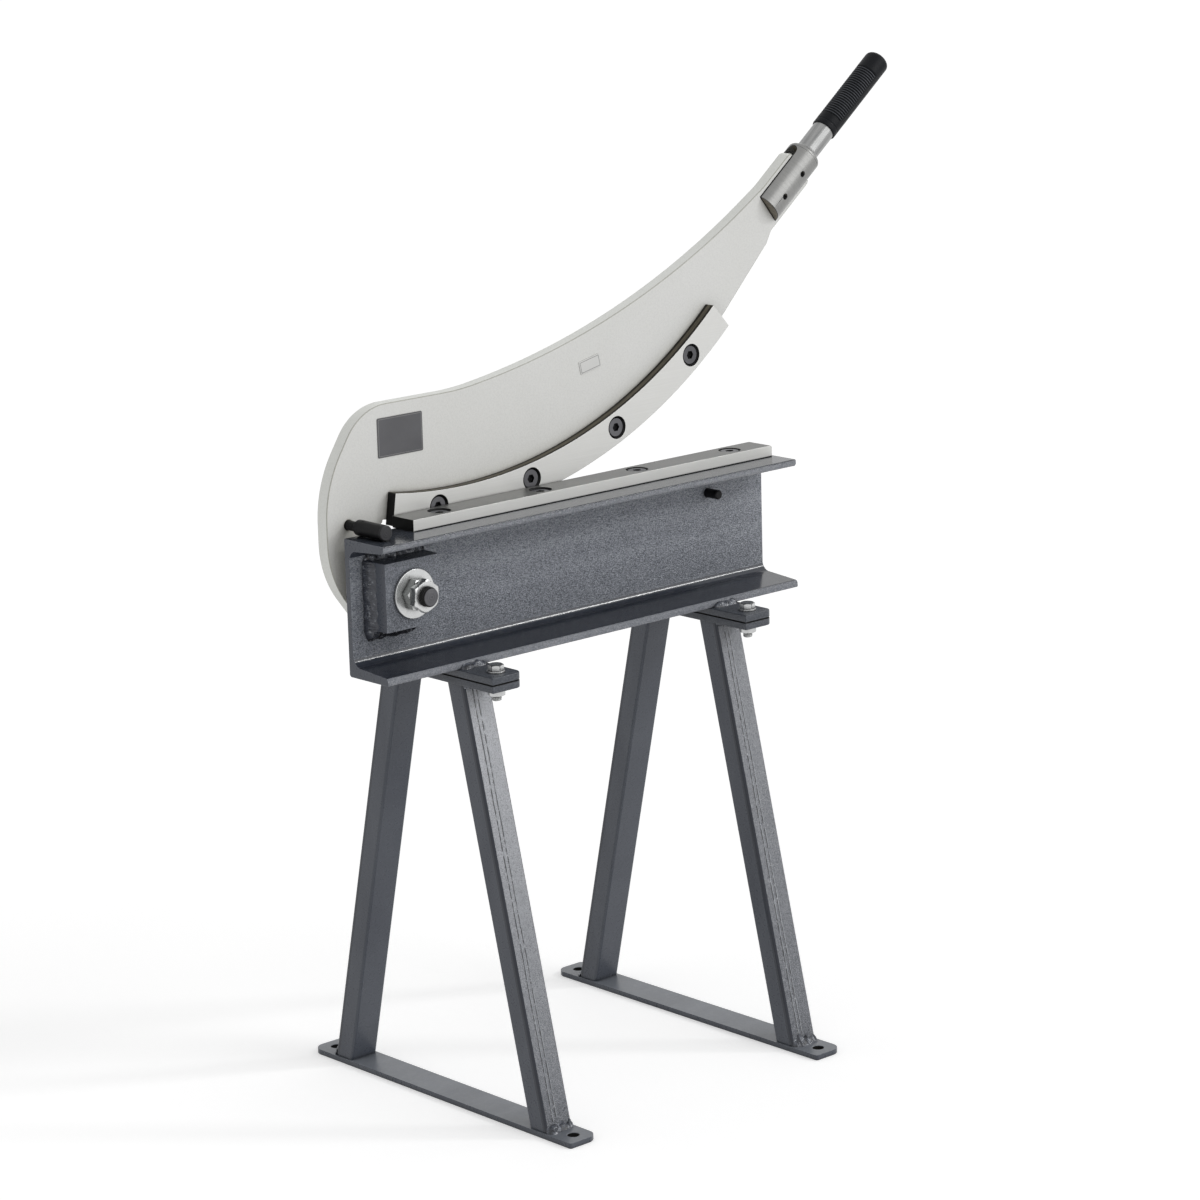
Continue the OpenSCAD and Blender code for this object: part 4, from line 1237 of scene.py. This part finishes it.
def make_arm():
    """Cream arm plate with eased edges, its tongue a little short of the slot's end.

    Its edge faces are a paler cream as painted light, its eased edges a greyer cream as painted
    shade, and the tongue's face in the slot is black as painted shade of the slot's gap.
    """
    mesh = cad_mesh("arm_plate")
    slot_half = 18.3 * MM
    slot_start = -0.8 * MM
    cut_off(mesh, HANDLE_FOOT + HANDLE_AXIS * (SOCKET_LENGTH - 19.5 * MM), HANDLE_AXIS)
    split(mesh, HANDLE_FOOT + HANDLE_AXIS * slot_start, HANDLE_AXIS)
    for rise in (slot_half, -slot_half):
        split(mesh, HANDLE_FOOT + HANDLE_ACROSS * rise, HANDLE_ACROSS)
    face, edge, tongue = 0, 1, 3

    def rule(normal, middle):
        if abs(normal.y) < 0.7:
            return edge
        arm = middle - HANDLE_FOOT
        in_slot = arm.dot(HANDLE_AXIS) > slot_start and abs(arm.dot(HANDLE_ACROSS)) < slot_half
        return tongue if in_slot else face

    paint_faces(mesh, rule)
    add_piece(
        "arm_plate_cream", mesh, ["cream", "cream edge", "cream line", "pin"], "arm_plate",
        edge=0.9 * MM, angle=50, edge_finish=2,
    )


def make_upper_blade():
    """Ground crescent blade with dark ends, a banded upper edge and hole walls black as painted
    shade, and its screws.
    """
    mesh = cad_mesh("upper_blade")
    band_front = 7.5 * MM
    band_back = 12.5 * MM
    for depth in (band_front, band_back):
        split(mesh, BACK * depth, BACK)
    ground, scale, hole, dark_scale = range(4)

    def rule(normal, middle):
        arm = middle - BLADE_ARC
        arm.y = 0
        if SCREW_BAND[0] < arm.length < SCREW_BAND[1] and abs(normal.y) < 0.9:
            return hole
        if abs(normal.y) >= 0.5:
            return ground
        if arm.length < BLADE_INNER:
            return scale if band_front < middle.y < band_back else dark_scale
        return scale if abs(normal.dot(arm.normalized())) < 0.5 else ground

    paint_faces(mesh, rule)
    finishes = ["ground", "scale", "pin", "dark scale"]
    add_piece("upper_blade_ground", mesh, finishes, "upper_blade", edge=0.35 * MM, angle=40)
    screws = cad_mesh("upper_blade_screws")
    sink_heads(screws, FRONT)
    finishes = ["black", "screw"]
    add_piece(
        "upper_blade_socket_screws", screws, finishes, "upper_blade_screws", edge=0.45 * MM
    )


def make_handle():
    """Slotted socket with a rounded shoulder, its sunk pins, the rod, and the arm's bush."""
    mesh = cad_mesh("handle_socket")
    cut = HANDLE_FOOT + HANDLE_AXIS * (SOCKET_LENGTH - 5 * MM)
    cut_off(mesh, cut, HANDLE_AXIS)
    turns = [math.radians(9 * i) for i in range(11)]
    profile = [(0.0, 18.99 * MM)]
    profile += [(1.6 * MM + 4 * MM * math.sin(t), 15 * MM + 4 * MM * math.cos(t)) for t in turns]
    add_turned(mesh, cut - HANDLE_AXIS * 0.6 * MM, HANDLE_AXIS, profile, 96)
    paint_faces(mesh, lambda normal, middle: normal.dot(HANDLE_AXIS) < -0.9)
    # The socket's eased edges take a dark finish: painted shade that draws a line along the slot's
    # gap.
    add_piece(
        "handle_socket_turned", mesh, ["socket", "sawn", "worn end and edge shade"], "handle_socket",
        edge=0.5 * MM, angle=45, edge_finish=2,
    )
    mesh = cad_mesh("cross_pins")
    for vert in mesh.verts:
        vert.co.y += math.copysign(1.6 * MM, HANDLE_FOOT.y - vert.co.y)
    add_piece("cross_pins_sunk", mesh, ["pin"], "cross_pins", edge=0.5 * MM)
    mesh = cad_mesh("handle_rod")
    flare = (
        (-0.1, 12.2), (-0.1, 16.0), (0.2, 15.4), (0.7, 14.4), (1.4, 13.6), (2.4, 12.9),
        (3.8, 12.55), (4.4, 12.2),
    )
    profile = [(run * MM, radius * MM) for run, radius in flare]
    add_turned(mesh, HANDLE_FOOT + HANDLE_AXIS * SOCKET_LENGTH, HANDLE_AXIS, profile, 72)
    add_piece("handle_rod_turned", mesh, ["rod"], "handle_rod", angle=40)
    bush = cad_mesh("pivot_bush")
    add_piece("pivot_bush_bronze", bush, ["bronze"], "pivot_bush", edge=0.3 * MM)


def make_stop_pin():
    """Stop pin with a faced front end, turned rings and a centre mark."""
    mesh = cad_mesh("stop_pin")
    low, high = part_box("stop_pin")
    front = low[1]
    x = (low[0] + high[0]) / 2
    z = (low[2] + high[2]) / 2
    cut_off(mesh, Vector((x, front + 2 * MM, z)), FRONT)
    profile = [(0.0, 7.9 * MM), (1.5 * MM, 7.9 * MM), (2.5 * MM, 7.1 * MM)]
    profile += faced_end(2.5 * MM, 7.0 * MM)
    add_turned(mesh, Vector((x, front + 2.5 * MM, z)), FRONT, profile)
    paint_faces(mesh, lambda normal, middle: middle.y < front + 1.2 * MM)
    add_piece(
        "stop_pin_black", mesh, ["black", "worn end and edge shade"], "stop_pin", edge=0.4 * MM, angle=45,
        edge_finish=1,
    )


def off_strip(turn):
    """Angle round the grip from the middle of its plain strip."""
    return abs((turn - STRIP_TURN + math.pi) % (2 * math.pi) - math.pi)


def tent(distance, reach):
    """One at no distance, falling evenly to zero at the reach."""
    return max(0.0, 1 - abs(distance) / reach)


def grip_radius(along, turn):
    """Radius of the grip: a collar, rounded ribs with a plain strip, and a rounded end."""
    first = RIB_START * GRIP_LENGTH
    last = RIB_END * GRIP_LENGTH
    radius = GRIP_RADIUS
    if first < along < last:
        away = off_strip(turn)
        on_strip = min(1.0, tent(max(0.0, away - math.radians(24)), math.radians(3)))
        pitch = (last - first) / RIB_COUNT
        wave = 0.5 + 0.5 * math.cos(2 * math.pi * (along - first) / pitch)
        radius -= 1.25 * MM * (1 - wave ** 0.6) * (1 - on_strip)
        radius -= 0.35 * MM * tent(away - math.radians(9), math.radians(3.5)) * on_strip
    radius -= 0.45 * MM * tent(along - 0.055 * GRIP_LENGTH, 1.0 * MM)
    radius -= 0.6 * MM * tent(along, 0.8 * MM) ** 2
    past = along - (GRIP_LENGTH - GRIP_TIP)
    if past > 0:
        radius -= GRIP_TIP - math.sqrt(max(0.0, GRIP_TIP * GRIP_TIP - past * past))
    return radius


def make_grip():
    """Moulded grip with its bore closed over the rod."""
    frame_of_handle = Matrix.Translation(HANDLE_FOOT) @ Matrix.Rotation(-HANDLE_ANGLE, 4, "Y")
    bore = 12.5 * MM
    around = 120
    stations = [0.0, 0.3 * MM, 0.8 * MM]
    step = (RIB_END - RIB_START) * GRIP_LENGTH / RIB_COUNT / 8
    along = 1.4 * MM
    while along < 0.80 * GRIP_LENGTH:
        stations.append(along)
        along += step
    stations += [share * GRIP_LENGTH for share in (0.83, 0.88, 0.93)]
    tip = GRIP_LENGTH - GRIP_TIP
    stations += [tip + GRIP_TIP * math.sin(math.radians(a)) for a in range(5, 90, 7)]
    stations.append(GRIP_LENGTH)

    def ring(along, size=None):
        points = []
        for i in range(around):
            turn = 2 * math.pi * i / around
            radius = size or grip_radius(along, turn)
            across = (radius * math.sin(turn), radius * math.cos(turn))
            points.append(frame_of_handle @ Vector((GRIP_START + along, *across)))
        return points

    mesh = bmesh.new()
    rings = [ring(0.9 * GRIP_LENGTH, bore), ring(0.0, bore)]
    add_tube(mesh, rings + [ring(along) for along in stations])
    to_handle = frame_of_handle.inverted()

    # Rib crests take the lighter rib finish, a painted highlight.
    def rule(normal, middle):
        local = to_handle @ middle
        share = (local.x - GRIP_START) / GRIP_LENGTH
        phase = (share - RIB_START) / (RIB_END - RIB_START) * RIB_COUNT % 1.0
        ribbed = off_strip(math.atan2(local.y, local.z)) > math.radians(26)
        return ribbed and 0.14 < share < 0.78 and not 0.13 <= phase <= 0.87

    paint_faces(mesh, rule)
    add_piece("handle_grip_ribbed", mesh, ["rubber", "rib"], "handle_grip", angle=60)


def add_border(mesh, middle, along, across, size):
    """Thin raised line round a plate, on its front face."""
    inset = 1.2 * MM
    width = 0.5 * MM
    height = 0.08 * MM
    foot = -0.1 * MM
    rows = []
    for off, rise in ((inset, foot), (inset, height), (inset + width, height), (inset + width, foot)):
        half_long = size[0] / 2 - off
        half_high = size[1] / 2 - off
        rows.append([
            mesh.verts.new(middle + along * (half_long * u) + across * (half_high * v) + FRONT * rise)
            for u, v in ((-1, -1), (1, -1), (1, 1), (-1, 1))
        ])
    for i in range(4):
        near = rows[i]
        far = rows[(i + 1) % 4]
        for j in range(4):
            k = (j + 1) % 4
            mesh.faces.new((near[j], near[k], far[k], far[j]))


def make_badge(node, finish, centre, size, turn):
    """Bare plate on the arm with a fine border line."""
    add_piece(node + "_bare", cad_mesh(node), [finish], node, edge=0.15 * MM)
    angle = math.radians(turn)
    along = Vector((math.cos(angle), 0, math.sin(angle)))
    across = Vector((-math.sin(angle), 0, math.cos(angle)))
    middle = Vector((centre[0], ARM_FRONT - 0.6 * MM, centre[1]))
    line = bmesh.new()
    add_border(line, middle, along, across, size)
    add_piece(node + "_border", line, ["plate line"], node, extra=True)


# Stage


def make_floor():
    """Wide pale floor that keeps the object's shadow."""
    mesh = bmesh.new()
    half = 60.0
    corners = [(-half, -half), (half, -half), (half, half), (-half, half)]
    mesh.faces.new([mesh.verts.new((x, y, 0)) for x, y in corners])
    data = bpy.data.meshes.new("floor")
    mesh.to_mesh(data)
    mesh.free()
    floor = bpy.data.objects.new("floor", data)
    bpy.context.scene.collection.objects.link(floor)
    material, tree, shader = new_material("pale floor", specular=0.0)
    shader.inputs["Base Color"].default_value = (0.86, 0.86, 0.86, 1)
    shader.inputs["Roughness"].default_value = 1.0
    level = calculate(tree, "MULTIPLY", seen_rays(tree), FLOOR_GLOW)
    glow = put(tree, "ShaderNodeEmission", {"Strength": level})
    both = put(tree, "ShaderNodeAddShader", {0: shader.outputs[0], 1: glow.outputs[0]})
    out = next(node for node in tree.nodes if node.type == "OUTPUT_MATERIAL")
    tree.links.new(both.outputs[0], out.inputs[0])
    data.materials.append(material)


def seen_rays(tree):
    """One for camera, glossy and transmission rays, and zero for the rest."""
    rays = put(tree, "ShaderNodeLightPath").outputs
    two = calculate(tree, "ADD", rays["Is Camera Ray"], rays["Is Glossy Ray"], clamp=True)
    return calculate(tree, "ADD", two, rays["Is Transmission Ray"], clamp=True)


def make_lights():
    """White world that fills the shadows, one broad soft key and a clearer one."""
    world = bpy.data.worlds.new("studio")
    bpy.context.scene.world = world
    world.use_nodes = True
    tree = world.node_tree
    tree.nodes.clear()
    level = span(tree, seen_rays(tree), 0.0, 1.0, FILL, 1.0)
    ground = put(tree, "ShaderNodeBackground", {"Color": (1, 1, 1, 1), "Strength": level})
    put(tree, "ShaderNodeOutputWorld", {0: ground.outputs[0]})
    add_sun("soft key", KEY, 50, 22, 24)
    add_sun("clear key", CLEAR_KEY, 8, 50, 32)


def add_sun(name, strength, width, azimuth, height):
    """Sun of a given width in degrees, turned from the front towards +X, and its height."""
    light = bpy.data.lights.new(name, "SUN")
    light.energy = strength
    light.angle = math.radians(width)
    lamp = bpy.data.objects.new(name, light)
    bpy.context.scene.collection.objects.link(lamp)
    turn = math.radians(azimuth)
    rise = math.radians(height)
    level = math.cos(rise)
    toward = Vector((math.sin(turn) * level, -math.cos(turn) * level, math.sin(rise)))
    lamp.rotation_mode = "QUATERNION"
    lamp.rotation_quaternion = toward.to_track_quat("Z", "Y")


def make_camera():
    """Camera at the photograph's place and angles, with its focal length in a 1200 px frame."""
    azimuth = math.radians(42.15086)
    height = math.radians(13.273845)
    roll = math.radians(-1.559574)
    place = Vector((-2.5989375, -2.9284021, 1.4177763))
    focal_px = 3880.072
    frame_px = 1200
    level = math.cos(height)
    ahead = Vector((math.sin(azimuth) * level, math.cos(azimuth) * level, -math.sin(height)))
    right = Vector((math.cos(azimuth), -math.sin(azimuth), 0))
    up = right.cross(ahead)
    side = right * math.cos(roll) + up * math.sin(roll)
    top = up * math.cos(roll) - right * math.sin(roll)
    data = bpy.data.cameras.new("photo view")
    data.sensor_width = 36.0
    data.lens = focal_px / frame_px * data.sensor_width
    data.clip_end = 200.0
    camera = bpy.data.objects.new("photo view", data)
    bpy.context.scene.collection.objects.link(camera)
    turn = Matrix((side, top, -ahead)).transposed().to_4x4()
    camera.matrix_world = Matrix.Translation(place) @ turn
    bpy.context.scene.camera = camera


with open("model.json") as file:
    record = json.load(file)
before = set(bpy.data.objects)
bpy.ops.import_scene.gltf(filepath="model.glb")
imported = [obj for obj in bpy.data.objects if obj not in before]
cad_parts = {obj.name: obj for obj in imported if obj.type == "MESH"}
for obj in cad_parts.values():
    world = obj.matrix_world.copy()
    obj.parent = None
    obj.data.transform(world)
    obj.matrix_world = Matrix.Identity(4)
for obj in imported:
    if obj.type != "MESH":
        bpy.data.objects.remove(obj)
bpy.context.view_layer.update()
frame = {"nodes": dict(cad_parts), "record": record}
bpy.context.scene.view_settings.view_transform = "Standard"
NODES = frame["nodes"]
BODY_OF = {
    node: body for body, nodes in frame["record"]["behaviour"]["bodies"].items() for node in nodes
}
GROUPS = make_groups()
FINISH = {**make_hammered(), **make_finishes()}
make_camera()
make_lights()
make_floor()
make_beam()
make_block()
make_block_beads()
make_lower_blade()
make_pivot()
make_plates()
for side in ("left", "right"):
    for end in ("front", "rear"):
        make_leg(side, end)
    make_stand(side)
make_arm()
make_upper_blade()
make_handle()
make_stop_pin()
make_grip()
for badge in BADGES:
    make_badge(*badge)
